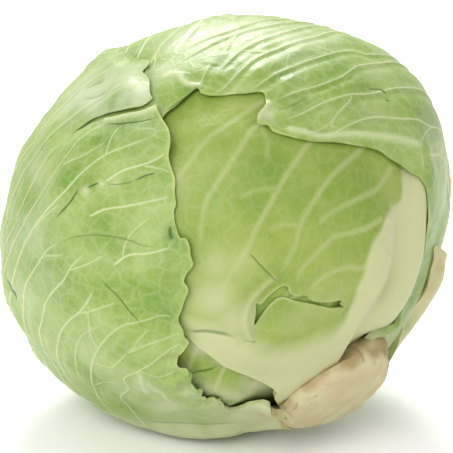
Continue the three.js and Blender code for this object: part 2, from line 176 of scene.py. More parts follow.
def headRadius(d):
    long = d @ inFace(head["longTurn"]) / head["longRadius"]
    short = d @ inFace(head["longTurn"] + 90) / head["shortRadius"]
    deep = d @ front / head["deepRadius"]
    radius = 1 / np.sqrt(long ** 2 + short ** 2 + deep ** 2)
    for turn, height, spread in swellings:
        radius = radius + height * bellRound(d, inFace(turn), spread)
    return radius


# A leaf is drawn on a flat chart that touches the head at its midrib. x runs to the tip, y to the side.
def toChart(leaf, d):
    depth = 1 + d @ leaf["out"]
    return np.stack([2 * (d @ leaf["toTip"]) / depth, 2 * (d @ leaf["toSide"]) / depth], -1)


def fromChart(leaf, xy):
    q = (xy ** 2).sum(-1, keepdims=True) / 4
    return ((1 - q) * leaf["out"] + xy[:, :1] * leaf["toTip"] + xy[:, 1:] * leaf["toSide"]) / (1 + q)


# Millimetres on the head for one unit on the chart.
def chartScale(xy):
    return head["longRadius"] / (1 + (xy ** 2).sum(-1) / 4)


# A smooth line on a leaf's chart through these places, a Catmull-Rom spline.
def curveOn(leaf, places, closed=False):
    places = np.array(places, float)
    points = toChart(leaf, drawnIn(places[:, 0], places[:, 1]))
    before, after = (points[-1:], points[:2]) if closed else (points[:1], points[-1:])
    points = np.concatenate([before, points, after])
    t = np.linspace(0, 1, 4 if closed else 6, endpoint=False)[:, None]
    parts = []
    for a, b, c, d in zip(points, points[1:], points[2:], points[3:]):
        square, cube = 2 * a - 5 * b + 4 * c - d, 3 * b - a - 3 * c + d
        parts.append(0.5 * (2 * b + (c - a) * t + square * t ** 2 + cube * t ** 3))
    if not closed:
        parts.append(after)
    return np.concatenate(parts)


# Distance to a line of points, the share of its length there, the nearest point, and the side that it is on.
def distanceToLine(xy, line, closed):
    starts = line if closed else line[:-1]
    ends = np.roll(line, -1, 0) if closed else line[1:]
    best = np.full(len(xy), np.inf)
    share = np.zeros(len(xy))
    foot = np.zeros((len(xy), 2))
    side = np.zeros(len(xy))
    for n, (a, b) in enumerate(zip(starts, ends)):
        step = b - a
        t = np.clip(((xy - a) @ step) / max(step @ step, 1e-12), 0, 1)  # two points may fall together
        near = a + t[:, None] * step
        gap = np.hypot(*(xy - near).T)
        closer = gap < best
        best[closer] = gap[closer]
        share[closer] = (n + t[closer]) / len(starts)
        foot[closer] = near[closer]
        turn = step[0] * (xy[:, 1] - a[1]) - step[1] * (xy[:, 0] - a[0])
        side[closer] = np.sign(turn[closer])
    return best, share, foot, side


def isInside(xy, line):
    inside = np.zeros(len(xy), bool)
    for a, b in zip(line, np.roll(line, -1, 0)):
        if a[1] != b[1]:
            crosses = (a[1] > xy[:, 1]) != (b[1] > xy[:, 1])
            inside ^= crosses & (xy[:, 0] < a[0] + (b[0] - a[0]) * (xy[:, 1] - a[1]) / (b[1] - a[1]))
    return inside


def insideBy(xy, line):
    gap = distanceToLine(xy, line, True)[0]
    return np.where(isInside(xy, line), gap, -gap)


# Which directions lie on a leaf's chart, their places there, and how far inside the edge they are.
def depthInLeaf(leaf, d):
    near = d @ leaf["out"] > chartEnd
    xy = toChart(leaf, d[near])
    return near, xy, insideBy(xy, leaf["edge"]) * chartScale(xy)


# How far inside each leaf's edge these directions lie, one row a leaf.
def depthsInLeaves(d):
    depths = np.full((len(leaves), len(d)), farOutside)
    for row, leaf in zip(depths, leaves):
        near, _, depth = depthInLeaf(leaf, d)
        row[near] = depth
    return depths


# How much of a leaf's height is felt by a leaf on top of it.
def cover(depth, angle):
    reach = wrap["closeUp"] + (1 - wrap["closeUp"]) * smooth(angle, *wrap["closeUpTo"])
    return eased((depth / reach + wrap["slack"] + wrap["settle"]) / wrap["settle"])


# The leaves, from the innermost to the outermost. A place is (angle from the stem axis, turn about it).
# A crease is (places, depth, width, darkness of the shade painted down it), in millimetres. Lifts, sinks,
# frills and patches of colour are (angle, turn, reach in millimetres, height or strength). The whitish wax
# patches paint waxy bloom together with painted highlights, and the deep patches marked so paint shade. The
# base is white up to the first angle, and its edge is soft over the second. On the side of the midrib that
# drawnPart gives, and up to its angle, all veins are given here.
underLeaf = {
    "node": "leaf_under", "piece": "under_leaf",
    "midrib": 50, "tip": 97, "sweep": 0, "tipBend": -0.6, "cell": 0.014,
    "vein": {"width": 1.1, "rise": 0.3, "dip": 0.1},
    "rib": {"height": 2, "width": 6, "baseWidth": 5, "end": 80, "bridge": 1.5},
    "white": (22, 14),
    "outline": [(13, -2), (24, -18), (40, -30), (60, -28), (80, -10), (95, 18), (99, 52), (96, 80),
        (82, 100), (60, 108), (40, 108), (26, 108), (13, 95)],
    "folds": [
        [(58, 28.5), (55, 32), (53, 33.5), (50.5, 33.5), (48, 33), (45, 33.5), (41, 35)],
    ],
    "creases": [
        ([(48.2, 46.2), (46.9, 43.9), (45.5, 42.1), (44.1, 39.9), (43.2, 36.6)], 0.8, 1.0, 0.7),
    ],
    # Painted shade: these deep patches darken this leaf under the left leaf's frilled edge and inside the
    # main leaf's tear.
    "deep": [(24, 60, 9, 0.8), (30, 62, 8, 0.9), (36.5, 60, 7, 1.0), (41, 56, 6, 1.0), (45, 53, 5, 1.0),
        (46, 11, 4, 0.7), (48, 4, 4, 0.2), (43, -5, 4, 0.4), (37, -12, 4, 0.8), (33, -20, 4, 1.0)],
    "pale": [(50, 33, 4, 0.9), (44, 34, 3, 0.6), (28, 40, 9, 0.4)],
    "scar": [(22, 58, 2.5, 0.7)],
}
mainLeaf = {
    "node": "leaf_main", "piece": "main_leaf",
    "midrib": -68, "tip": 128, "sweep": 0.16, "tipBend": -0.4, "cell": 0.0118,
    "vein": {"width": 1.4, "rise": 0.28, "dip": 0.1},
    "rib": {"height": 4.4, "width": 5, "baseWidth": 7, "end": 95, "bridge": 1.3, "fullFrom": 23},
    "white": (14, 20), "drawnPart": (1, 100),
    "outline": [(13, 52), (16.5, 46), (19.5, 41), (24, 38), (29.5, 36), (35, 35), (41.8, 34.4),
        (44.8, 33.4), (48.8, 32.5), (51.6, 32.2), (54.4, 31.5), (57.3, 31), (59.5, 29.5), (66, 30),
        (78, 32), (92, 28), (104, 15), (114, -8), (123, -35), (129, -68), (120, -100), (100, -116),
        (75, -122), (50, -124), (30, -128), (13, -135)],
    "tears": [
        [(44.4, 13.6), (46.9, 9.7), (48.6, 7.6), (47.6, 6.6), (48, 3.3), (48.2, 0), (48.1, -3), (47, -4.4),
         (45.2, -3.9), (43, -5.4), (42.1, -8.2), (39.8, -9.4), (37.5, -12.8), (36, -17.2), (34.9, -21.6),
         (33.5, -21), (31.2, -25.6), (32.8, -21.3), (34.1, -16.4), (35.8, -13.2), (38.5, -9.4), (40.8, -6),
         (43, -3.2), (44.9, -1.4), (45.9, 0.6), (45.9, 4), (45.5, 7), (44.8, 10.4)],
    ],
    "veins": [
        [(93, -60), (92.5, -40), (91.5, -25), (90, -16), (89.5, -9), (87.5, -2.5), (86, 3), (84, 9)],
        [(90, -62), (88, -36), (86, -21.5), (83, -14.5), (80, -7.5), (78.5, -3.5), (76.5, 1), (72.5, 5.5),
         (68, 11)],
        [(84, -60), (79, -40), (76, -31), (73.5, -25), (70, -17.5), (64.5, -6.5), (61.5, -0.9), (59.1, 7.2),
         (57.6, 11.3), (55, 17)],
        [(76, -60), (71, -49), (69, -43), (66.5, -32.5), (63.5, -25.5), (59.7, -18), (55.5, -13),
         (53.1, -8.2), (50.4, -2.4)],
        [(64, -56), (60.5, -50), (59, -45), (58.7, -38.5), (58.5, -31.9), (58, -25), (56.5, -21)],
        [(52, -45), (51.2, -38), (51.5, -31.8), (52.5, -25.3), (51, -18.2), (49.1, -11), (46, -7.2)],
        [(41.5, -36), (42, -31), (43.5, -27.4), (44.5, -19.4), (43.6, -13.6), (41.7, -9.8)],
    ],
    "branches": [
        [(86.5, -23), (81, -21), (77, -18)], [(69.5, -17), (72, -12), (73, -6)],
        [(59.5, -17), (62, -12), (62.5, -8)], [(54, -50), (53.5, -54), (50, -55), (47.5, -51)],
        [(48, -42), (48.5, -46), (45.5, -49), (42, -46)],
    ],
    "folds": [
        [(51.6, -2), (51, 3), (50.3, 7), (49, 11), (47, 14.5), (44.5, 17), (42, 18.5)],
        [(53.5, 28), (51.9, 26), (49.8, 24.6), (47.5, 23.2), (45, 22.5)],
    ],
    "creases": [
        ([(60.5, -0.5), (59.5, -0.8), (56.1, -1.2), (51.6, -2), (50, -2.4)], 0.25, 0.4, 0.7),
        ([(43.8, 20.5), (42, 18.5), (40.5, 18)], 0.3, 0.5, 0.4),
        ([(62, -60), (55, -58.5), (49, -57), (43.4, -55.3), (37.9, -54), (31.8, -51), (27.7, -46),
          (23, -40)], 2.2, 2.3, 0.0),
        ([(57, 29.5), (54.9, 28.5), (52.9, 25.8), (50.5, 23.7), (48.1, 22), (45, 20.5)], 0.9, 1.2, 0.5),
    ],
    "lifts": [(49, 5, 7, -0.6), (45, 12, 5, 0.9), (42, 20, 6, 0.5), (53, 20, 5, 0.6)],
    "deep": [(75, -16, 11, 0.9), (70, -10, 8, 0.7), (66, -20, 9, 0.6), (83, -26, 9, 0.7),
        (60, -28, 12, 0.5), (79, -3, 6, 0.35), (57, -36, 9, 0.5), (88, -12, 7, 0.4), (65, -40, 9, 0.35)],
    "pale": [(57, 16, 9, 0.75), (63, 9, 7, 0.5), (49, 17, 9, 0.8), (60, 4, 7, 0.35), (86, 4, 6, 0.3),
        (39, -8, 8, 0.3), (38, 2, 7, 0.3), (36, -18, 7, 0.25)],
    "scar": [(52, -2, 1.2, 0.4)],
    "whiteArea": [(64, -61), (59, -59), (56.5, -58), (54.5, -56.5), (53, -50), (51.5, -46.5), (49.5, -44),
        (48, -40.3), (45, -36.7), (42.5, -35), (40.5, -33.3), (37.5, -29.5), (35, -28), (33, -27.1),
        (31, -25.5), (29, -20), (28.5, -10), (30, 0), (32, 8), (36, 16), (41, 18), (46, 18.5), (50, 19.5),
        (54, 22), (58, 28), (45, 40), (13, 70), (13, -140), (30, -110), (60, -95), (68, -66)],
}
backLeaf = {
    "node": "leaf_back", "piece": "back_leaf",
    "midrib": 172, "tip": 150, "sweep": 0, "tipBend": -0.45, "cell": 0.0155,
    "vein": {"width": 0.8, "rise": 0.5, "dip": 0.3},
    "rib": {"height": 2.2, "width": 5.5, "baseWidth": 6, "end": 130, "bridge": 1.5},
    "white": (18, 30),
    "outline": [(13, 120), (26, 108), (45, 104), (70, 100), (95, 104), (118, 115), (138, 138), (150, 172),
        (150, 212), (128, 232), (95, 242), (70, 246), (45, 244), (26, 240), (13, 225)],
}
topLeaf = {
    "node": "leaf_top", "piece": "top_leaf",
    "midrib": -107, "tip": 195, "sweep": 0, "tipBend": 0.05, "cell": 0.0165,
    "vein": {"width": 0.75, "rise": 0.5, "dip": 0.35},
    "rib": {"height": 1.4, "width": 5, "baseWidth": 5, "end": 160, "bridge": 1.5},
    "white": (13, 8), "drawnPart": (1, 122),
    "outline": [(13, -60), (16, -63), (18.5, -67), (22, -74), (26, -79), (33, -79.5), (38.5, -76),
        (43.5, -72.3), (48.5, -69.8), (52, -69.3), (55.5, -68.5), (57.5, -67.5), (60, -65), (61.5, -61.5),
        (63.5, -58.5), (65.5, -55), (68, -51.5), (69.5, -48), (71, -44.5), (73, -39.5), (74.5, -35.5),
        (76, -32), (77.5, -29.5), (79.5, -27), (81.5, -25), (83, -24), (84.5, -24), (85.5, -22), (87, -22),
        (88.5, -24), (90, -27), (92, -28.5), (94, -29), (95.5, -25.5), (97.5, -22.5), (100, -18),
        (102.5, -16), (104.5, -16), (104, -12), (103.5, -8.5), (103.5, -5.5), (103, 2), (112, 18),
        (126, 34), (142, 44), (156, 60), (166, 95), (168, 145), (160, 192), (142, 210), (120, 216),
        (95, 216), (70, 216), (45, 218), (28, 222), (13, 228)],
    "veins": [
        [(104, -106), (107, -92), (107.5, -75), (106, -60), (105.5, -50), (105, -41), (104.5, -35.5),
         (102.5, -28.5), (100.5, -21.5), (100.5, -17)],
        [(92, -106), (95.5, -90), (95, -69), (97.5, -62), (97.5, -48.5), (97, -39), (96.5, -31.5),
         (95.5, -25)],
        [(87, -106), (91.5, -92), (92.5, -80), (91.5, -66.5), (91.5, -59.5), (89.5, -51.5), (89, -43),
         (89.5, -35), (90, -28)],
        [(78, -106), (83, -92), (83.5, -75), (83, -62), (83, -57), (84, -49), (84, -41), (83.5, -33),
         (84, -27)],
        [(68, -106), (72.5, -95), (74, -85.5), (73.5, -76), (75, -62.5), (76.5, -54), (76.5, -46.5),
         (76, -41), (75, -37)],
        [(113, -106), (116, -90), (117, -70), (116.5, -54.5), (117, -44.5), (117.5, -35.5), (117, -26),
         (116, -16), (114, -11)],
        [(119, -106), (121.5, -88), (121, -60), (119.8, -41.5), (120.5, -31.5), (120.5, -22.5),
         (119, -14.5), (117, -8)],
        [(108.5, -106), (111.5, -92), (112.5, -75), (112, -60), (111, -49.5), (110.5, -41.5),
         (109.5, -34.5), (107, -27), (105, -21)],
        [(60, -106), (65, -95), (67, -82), (65, -70)],
    ],
    "branches": [
        [(84, -51), (82.3, -49), (80.5, -44), (78.5, -39.5), (78, -35.5), (78.5, -31)],
        [(78.7, -39), (77.5, -39.8), (76.2, -41.5)], [(105, -40), (108, -36), (110, -34)],
        [(109.5, -24), (107, -20), (104.7, -16.5)], [(73.7, -78), (70, -69), (66.5, -66), (60.5, -66.5)],
        [(65, -68), (66.5, -76), (68, -84)], [(97.5, -58), (101, -55), (104, -52)],
        [(117, -40), (114, -34), (111, -30)],
    ],
    "folds": [
        [(81, -28), (79, -31), (77, -34), (75.5, -38), (74.5, -43), (72.5, -49), (71, -54.5), (69.5, -60),
         (68, -65)],
        [(114.5, -12), (114, -14), (111.5, -15), (109.5, -14.5), (107, -15), (105, -17)],
        [(88, -23.5), (89, -25.5), (90, -28)],
    ],
    "creases": [
        ([(84.5, -57), (83.5, -61.5), (81.5, -63)], 0.4, 0.5, 0.8),
        ([(80.7, -61), (79.6, -62)], 0.4, 0.8, 0.9),
        ([(105, -17), (104.2, -14), (103.8, -9), (104, -5)], 0.4, 0.9, 0.6),
        ([(87, -28), (86.5, -33), (87.5, -40)], 0.3, 0.8, 0.3),
    ],
    "lifts": [(88, -23, 4, 1.6), (104, -13, 4, 0.8), (30, -82, 5, -1.5), (38, -78, 6, -1.2),
        (47, -72, 6, -1.0), (54, -69, 6, -0.9), (60, -65, 5, -0.8)],
    "sinks": [(19, -68, 4, 1.5), (24, -76, 4.5, 1.5), (30, -81, 4, 0.8)],
    # The deep patches from (41, -81) on are painted shade on the dim strip beside the main leaf's midrib.
    "deep": [(100, -45, 7, 0.9), (98, -50, 6, 0.6), (95, -38, 6, 0.8), (88, -34, 6, 0.6), (94, -55, 7, 0.5),
        (87, -57, 8, 0.5), (108, -28, 8, 0.8), (111, -24, 6, 0.5), (74, -80, 9, 0.5), (80, -50, 8, 0.4),
        (105, -14.5, 3, 1.0), (41, -81, 6, 0.8), (36, -88, 8, 1.0), (30, -93, 9, 1.0), (25, -95, 9, 1.0),
        (63, -84, 8, 0.5), (52, -74, 5, 0.7), (44, -76, 4, 0.8), (37, -79, 4, 0.8), (60, -70, 4, 0.6),
        (50, -82, 6, 0.9), (43, -85, 6, 0.9)],
    "pale": [(88, -25, 3, 0.7), (66, -82, 9, 0.25), (19, -104, 6, 0.9)],
    # These wax patches paint whitish waxy bloom together with painted highlights from the light above.
    "waxAndHighlight": [(119, -45, 15, 0.55), (124, -30, 13, 0.6), (112, -49, 9, 0.6), (107, -52, 7, 0.5),
        (116, -14, 7, 0.6), (60, -93, 7, 0.5), (70, -80, 9, 0.3), (88, -25, 3, 0.7), (104, -60, 9, 0.3)],
}
leftLeaf = {
    "node": "leaf_left", "piece": "left_leaf",
    "midrib": 97, "tip": 190, "sweep": 0, "tipBend": -0.12, "cell": 0.0168,
    "vein": {"width": 0.7, "rise": 0.42, "dip": 0.2},
    "rib": {"height": 2, "width": 5, "baseWidth": 5, "end": 165, "bridge": 1.5},
    "white": (20, 26), "drawnPart": (-1, 125),
    "outline": [(13, 56), (16, 53), (19, 51), (22.5, 49), (25.5, 46.5), (27.9, 46), (29.2, 52), (31, 61),
        (33, 67.5), (34.8, 62.5), (37.6, 53.5), (39.5, 52), (41, 54), (42, 51), (43, 51.5), (43.5, 48),
        (45, 46.5), (46.5, 47), (47.5, 45.5), (48, 43), (49.5, 41), (50.5, 40.5), (52, 42), (53.5, 40),
        (54, 36.5), (54, 32), (56, 30.5), (57.5, 29), (60, 27.5), (61, 24.5), (62.5, 21), (63.5, 18.5),
        (65.5, 18), (66.5, 16), (67, 13), (69, 12), (71, 10.5), (73, 10), (74, 11), (76, 10.5), (78, 9.5),
        (80, 8), (81, 6.5), (83.5, 5), (86, 3), (89, 2), (91, 1), (93.5, -1.5), (97, -3), (101.5, -3.5),
        (104.5, -4), (107, -5), (110, -5), (112.5, -6), (115.5, -7.5), (118, -8), (121, -8), (122, -10.5),
        (124, -12), (132, -11), (142.5, -12), (154, -17), (164, -50), (170, -107), (168, -145), (158, 212),
        (140, 206), (120, 200), (100, 192), (80, 184), (60, 172), (42, 160), (28, 145), (13, 120)],
    "tears": [
        [(105, -9), (106, -4), (107, -1), (108.5, 1.5), (111, 5), (114.2, 9), (118, 14), (120.8, 19),
         (121.5, 22), (121.9, 18.5), (120.4, 13.3), (116, 8), (112.6, 3.8), (110.2, 0.6), (108.8, -2.6),
         (109, -9)],
    ],
    "veins": [
        [(74, 97), (81.5, 85.5), (82.5, 72.5), (83, 61.5), (82, 53.5), (80.5, 48), (80, 41.5), (80.5, 36)],
        [(64, 97), (70.5, 86.4), (71.5, 72), (72, 60.5), (71.5, 51.5), (70.1, 42.6), (68.1, 36.6)],
        [(56, 97), (60, 86), (62.7, 74.4), (60.8, 66), (62.7, 61), (60.3, 53.6), (57.9, 43.3), (56.4, 35.4),
         (54.6, 32)],
        [(82, 97), (88.5, 71), (89, 62), (90, 53.5), (88.5, 44), (88.5, 38), (87.5, 32)],
        [(88, 97), (93, 80), (96, 66), (97.5, 57.5), (97.5, 50.5), (97, 42.5), (95, 37)],
        [(95, 97), (100, 80), (102, 62), (104.5, 45), (104, 36), (102.5, 27.5), (102.5, 20.5), (102, 13),
         (100, 8), (98.5, 4), (97, 0)],
        [(100, 97), (105, 72), (108.5, 49), (109.5, 40.5), (110.5, 32), (111.5, 24), (113, 18), (113.5, 12),
         (112, 8.5)],
        [(106, 97), (110, 72), (113, 54), (115, 45), (117, 37), (119.5, 30), (121, 25)],
        [(112, 97), (117, 65), (122, 48), (125, 37), (127, 28), (127.5, 18), (125.5, 8), (121, 0),
         (119, -4)],
        [(120, 97), (124, 65), (130, 46), (135, 33), (138, 20), (137, 6), (133, -5)],
        [(130, 97), (134, 65), (141, 43), (146, 26), (148, 8), (146, -6)],
        [(96.5, 16.5), (95.5, 11.5), (93, 6), (92, 0.5)],
        [(93.5, 26), (92, 21.5), (89, 17), (86, 12), (83, 6)],
        [(80.5, 29), (79.5, 24), (76.5, 20), (73.5, 14)],
    ],
    "branches": [
        [(102, 13), (105, 10.5), (107.5, 7.5), (107.5, 5)], [(109.5, 25), (106.5, 17.5), (105.8, 11)],
        [(104.2, 43), (103.5, 37.5), (101.5, 30)], [(79.8, 26), (82, 23), (83, 19), (82.5, 13)],
        [(71.8, 55), (75, 52), (77, 48), (80, 42)], [(81.5, 50), (77.5, 43), (74, 35.5)],
        [(71.8, 62), (67, 59), (65.6, 54), (64.6, 47.6), (64.1, 38.6), (63.6, 34)],
        [(64.8, 49), (62.2, 40.7), (59.2, 34.3), (57.3, 30)], [(71, 77), (68, 70), (64, 65)],
        [(75, 80), (76.5, 70), (77.5, 61.5), (77, 54), (73.5, 44.5)],
        [(57, 72.5), (52, 70), (48, 64.5), (45, 60)], [(61.5, 63), (56, 63), (53, 58), (50, 52)],
        [(60, 52), (56, 50), (53.5, 46.5), (52, 42.5)], [(69, 39), (66, 34), (64, 30), (61.5, 28)],
        [(88.5, 40), (85.5, 34), (84, 29)], [(97.2, 45), (94, 41), (92, 38)],
        [(93, 7), (90.5, 4.5), (88, 3)],
    ],
    "folds": [
        [(48, 64.5), (50, 62), (53.5, 58), (56, 56.5)],
        [(59.5, 53), (57.5, 58), (56, 63)],
        [(105, -4), (106.3, -1.5), (107.8, 1), (110.2, 4.8), (113.5, 9)],
    ],
    "creases": [
        ([(95, 37.5), (93, 33), (90, 28.5), (86, 24.5), (82, 21.5), (78, 19), (73.5, 14)], 0.4, 0.45, 0.45),
        ([(100, 34), (99.5, 28), (100.5, 23)], 0.5, 0.55, 1.0),
        ([(98.8, 21.5), (97.5, 18)], 0.4, 0.55, 0.9),
        ([(96, 17), (93.5, 14), (91.5, 10.5)], 0.2, 0.35, 0.6),
        ([(91.8, 11), (91, 8), (90, 5.5)], 0.4, 0.5, 0.9),
        ([(81.5, 34), (78, 34), (74.5, 34), (69, 35), (64.5, 36)], 0.35, 0.5, 0.75),
        ([(105, 65.5), (101.5, 66.5), (98, 67)], 0.7, 1.3, 1.0),
        ([(102, -3), (103.5, 0), (106.2, 3.2), (109.5, 6.7), (112.5, 9.5)], 0.5, 0.5, 0.9),
        ([(62.6, 91.3), (56.8, 89.6), (51.7, 87.3), (43.7, 84.1), (34.4, 84.6), (28, 82)], 0.5, 0.8, 0.35),
        ([(78, 11), (76.5, 12.5), (75, 13)], 0.9, 1.0, 1.0),
        ([(136, 13), (134, 8), (130, 3)], 0.5, 0.7, 0.3),
        ([(131, 14), (127, 8), (123, 1)], 0.4, 0.7, 0.25),
    ],
    "lifts": [(70, 11, 5, 1.5), (105, -3, 4, 0.8), (62, 20, 5, 1.2), (113, -2, 6, 0.5), (92, 0, 4, 0.5),
        (119, -7, 4, 0.2), (56, 31, 4, 0.8), (149, -15, 9, -1.4), (160, -27, 10, -1.4),
        (164, -45, 9, -1.2)],
    "frills": [(48, 46, 12, 1.9), (38, 54, 10, 1.6), (55, 37, 7, 0.9), (65, 19, 8, 0.8), (73, 14, 6, 0.6)],
    # The first seven deep patches are painted shade below the torn flap.
    "deep": [(105, 5, 6, 0.9), (107, 11, 6, 0.8), (101, 0, 5, 0.7), (99, 6, 6, 0.4), (112, 1, 3, 0.5),
        (116.5, 5, 3.5, 0.5), (121, 11, 4, 0.4), (106, 24, 12, 0.4), (92, 12, 8, 0.25), (97, 44, 22, 0.4),
        (86, 26, 14, 0.35), (74.5, 12, 4, 1.0), (67, 25.5, 5, 0.6), (63, 27.5, 5, 0.7), (71, 17, 7, 0.4),
        (100, 60, 12, 0.3)],
    "pale": [(58, 60, 9, 0.3), (50, 72, 14, 0.3), (98.5, 22.3, 1.5, 1.0), (96.8, 18, 1.3, 0.9),
        (94.6, 15.2, 1.3, 0.8), (60, 97, 8, 0.7), (52, 95, 8, 1.0), (44, 92, 8, 1.0), (36, 90, 8, 1.0),
        (28, 87, 8, 0.8)],
    # These wax patches paint whitish waxy bloom together with painted highlights from the light above.
    "waxAndHighlight": [(120, 0, 13, 0.85), (113, -4, 8, 0.9), (129, 8, 15, 0.8), (136, 14, 14, 0.7),
        (104, 46, 11, 0.35), (118, 40, 13, 0.4), (95, 62, 10, 0.3), (56, 62, 8, 0.6), (50, 70, 8, 0.7),
        (63, 68, 8, 0.4), (46, 50, 5, 0.5), (93, 50, 9, 0.25), (75, 60, 10, 0.25), (60, 97, 7, 0.6),
        (52, 94, 7, 0.8), (44, 91, 7, 0.8), (36, 89, 6, 0.6)],
    "scar": [(17, 54, 2, 0.8), (20.5, 51, 1.5, 0.7), (19, 75, 3, 0.5)],
}
trimmedBase = {
    "node": "leaf_stub", "piece": "trimmed_leaf_base",
    "midrib": -122, "tip": 49, "sweep": 0, "tipBend": 0, "cell": 0.009, "cutEnd": True,
    "vein": {"width": 1.2, "rise": 0.3, "dip": 0.1},
    "rib": {"height": 2.4, "width": 30, "baseWidth": 0, "end": 400, "bridge": 1, "fullFrom": 48},
    "white": (60, 10),
    "outline": [(15.5, -132), (18, -124), (26, -110), (36, -102), (43, -98.5), (47, -98), (47, -128),
        (36, -135), (26, -146), (17, -156), (13, -158)],
    "lifts": [(24, -111, 6, -1.6), (32, -103, 6, -1.7), (40, -97.5, 6, -1.8), (47, -96, 6, -1.8)],
    "sinks": [(18, -124, 6, 1.2), (23, -115, 5, 2), (28, -108, 5, 1.5)],
    # Painted shade: the deep patches darken the stub's base to green where it lies in shadow.
    "deep": [(18, -130, 9, 1.0), (20, -116, 8, 1.0), (25, -114, 6, 0.9)],
    "scar": [(36, -104, 2.5, 0.35), (42, -103, 2, 0.4)],
}
leaves = [underLeaf, mainLeaf, backLeaf, topLeaf, leftLeaf, trimmedBase]
onFloor = 4  # the leaf that the head rests on, by its place in the list

for leaf in leaves:
    leaf["out"] = sideAt(leaf["midrib"])
    leaf["toTip"] = -stemAxis
    leaf["toSide"] = np.cross(stemAxis, leaf["out"])
    leaf["edge"] = curveOn(leaf, leaf["outline"], True)
    leaf["slots"] = [curveOn(leaf, tear, True) for tear in leaf.get("tears", [])]


def baseFade(angle):
    return np.exp(-(angle - wrap["leafStart"]) / blade["baseReach"])


def bladeThickness(angle):
    return blade["thickness"] + blade["baseThickness"] * baseFade(angle)


def veinRoom(angle):
    return blade["veinHeight"] * smooth(angle, *blade["veinsGrow"])


# Height of the midrib, with its width taken so many times.
def ribHeight(leaf, d, wider):
    angle = angleFromStem(d)
    rib = leaf["rib"]
    spread = rib["width"] * wider + rib["baseWidth"] * baseFade(angle)
    fade = 1 - smooth(angle, rib["end"] * wrap["ribFade"], rib["end"])
    if "fullFrom" in rib:
        fade = fade * smooth(angle, wrap["leafStart"], rib["fullFrom"])
    height = rib["height"] * fade * bell((d @ leaf["toSide"]) * head["longRadius"], spread)
    return np.where((d @ leaf["out"] < 0) & (angle < wrap["ribFar"]), 0, height)


def leafPitch(leaf, d):
    angle = angleFromStem(d)
    return bladeThickness(angle) + veinRoom(angle) + wrap["gap"] \
        + ribHeight(leaf, d, leaf["rib"]["bridge"]) * wrap["bridgeRise"]


# How far above the heart the inside of the leaf with this place in the list lies.
def stackHeight(d, depths, count):
    height = np.full(len(d), wrap["gap"])
    angle = angleFromStem(d)
    for leaf, depth in zip(leaves[:count], depths):
        height += cover(depth, angle) * leafPitch(leaf, d)
    return height


def heartRadius(d, depths):
    angle = angleFromStem(d)
    layer = bladeThickness(angle) + veinRoom(angle) + wrap["gap"]
    toFront = (1 + d @ frontSide / np.maximum(np.sin(np.radians(angle)), 0.01)) / 2  # 0.01 keeps clear of 0
    filled = wrap["frontFill"] * toFront * smooth(angle, *wrap["fillOver"])
    hollow = wrap["baseHollow"] * (1 - filled) * bell(angle, wrap["baseSpread"])
    layers = smooth(depths, -wrap["ease"], wrap["ease"]).sum(0)
    place = drawnOut(d)
    radius = headRadius(place) - layer * layers - hollow
    low = place[:, 2] < flatSpot["pressBelow"]
    toFloor = head["centreHeight"] / -place[low, 2]
    pressed = toFloor - stackHeight(d[low], depths[:, low], onFloor) - bladeThickness(angle[low])
    radius[low] = np.minimum(radius[low], pressed)
    return radius


# 0 on the flat spot and 1 away from it.
def offFlat(d):
    x, y, z = drawnOut(d).T
    away = np.hypot(x, y) / -np.minimum(z, -0.2) * head["centreHeight"]  # -0.2 keeps clear of 0
    free = smooth(away, flatSpot["radius"], flatSpot["radius"] + flatSpot["blend"])
    return np.where(z > flatSpot["freeAbove"], 1, free)


def toPlace(d, radius):
    points = centre + drawnOut(d) * radius[:, None]
    points[:, 2] = np.where(points[:, 2] < flatSpot["snap"], 0, points[:, 2])
    return points * mm


# Smooth noise on the head, about -1 to 1, with lumps of this size in millimetres.
def bumps(d, size, seed):
    grain = head["longRadius"] / size
    shift = Vector([seed * step for step in noiseSteps])
    return np.array([noise.noise(Vector(p) * grain + shift) for p in d])


# 0 to 1 as such noise goes from low to high.
def speckle(d, size, seed, low, high):
    return smooth(bumps(d, size, seed), low, high)


# Height of each spot at these directions.
def bellsAt(d, spots):
    for angle, turn, reach, height in spots:
        away = np.arccos(np.clip(d @ drawnIn(angle, turn)[0], -1, 1)) * head["longRadius"]
        yield height * bell(away, reach)


def spotSum(d, spots):
    field = np.zeros(len(d))
    for height in bellsAt(d, spots):
        field += height
    return field


def spotMax(d, spots):
    field = np.zeros(len(d))
    for strength in bellsAt(d, spots):
        field = np.maximum(field, strength)
    return field


# How side veins are laid out where none are given: angles in degrees, lengths on the chart.
veinLay = {
    "from": 26, "beforeTip": 10, "spacing": (8, 11), "scatter": 2,
    "sweepOn": (25, 50), "sweepOff": (80, 110),  # a leaf's sweep acts between these,
    "circleTo": 135, "tipFrom": 85,  # and its bend at the tip takes over from circles round the stem
    "start": 0.01, "length": 2.6, "points": 40, "lean": 0.3, "leanBack": 0.1,
    "offEdge": 0.03, "apart": 0.025, "fewest": 4,
    "twigs": [(0.3, 0.6), (0.45, -0.55), (0.62, 0.6), (0.78, -0.5)],  # share of the vein's length, turn
    "twigShift": 0.06, "twigLength": (0.14, 0.26), "twigPoints": 8, "straighten": 0.5,
}
veinPower = {"side": 1.0, "branch": 0.6, "twig": 0.5}


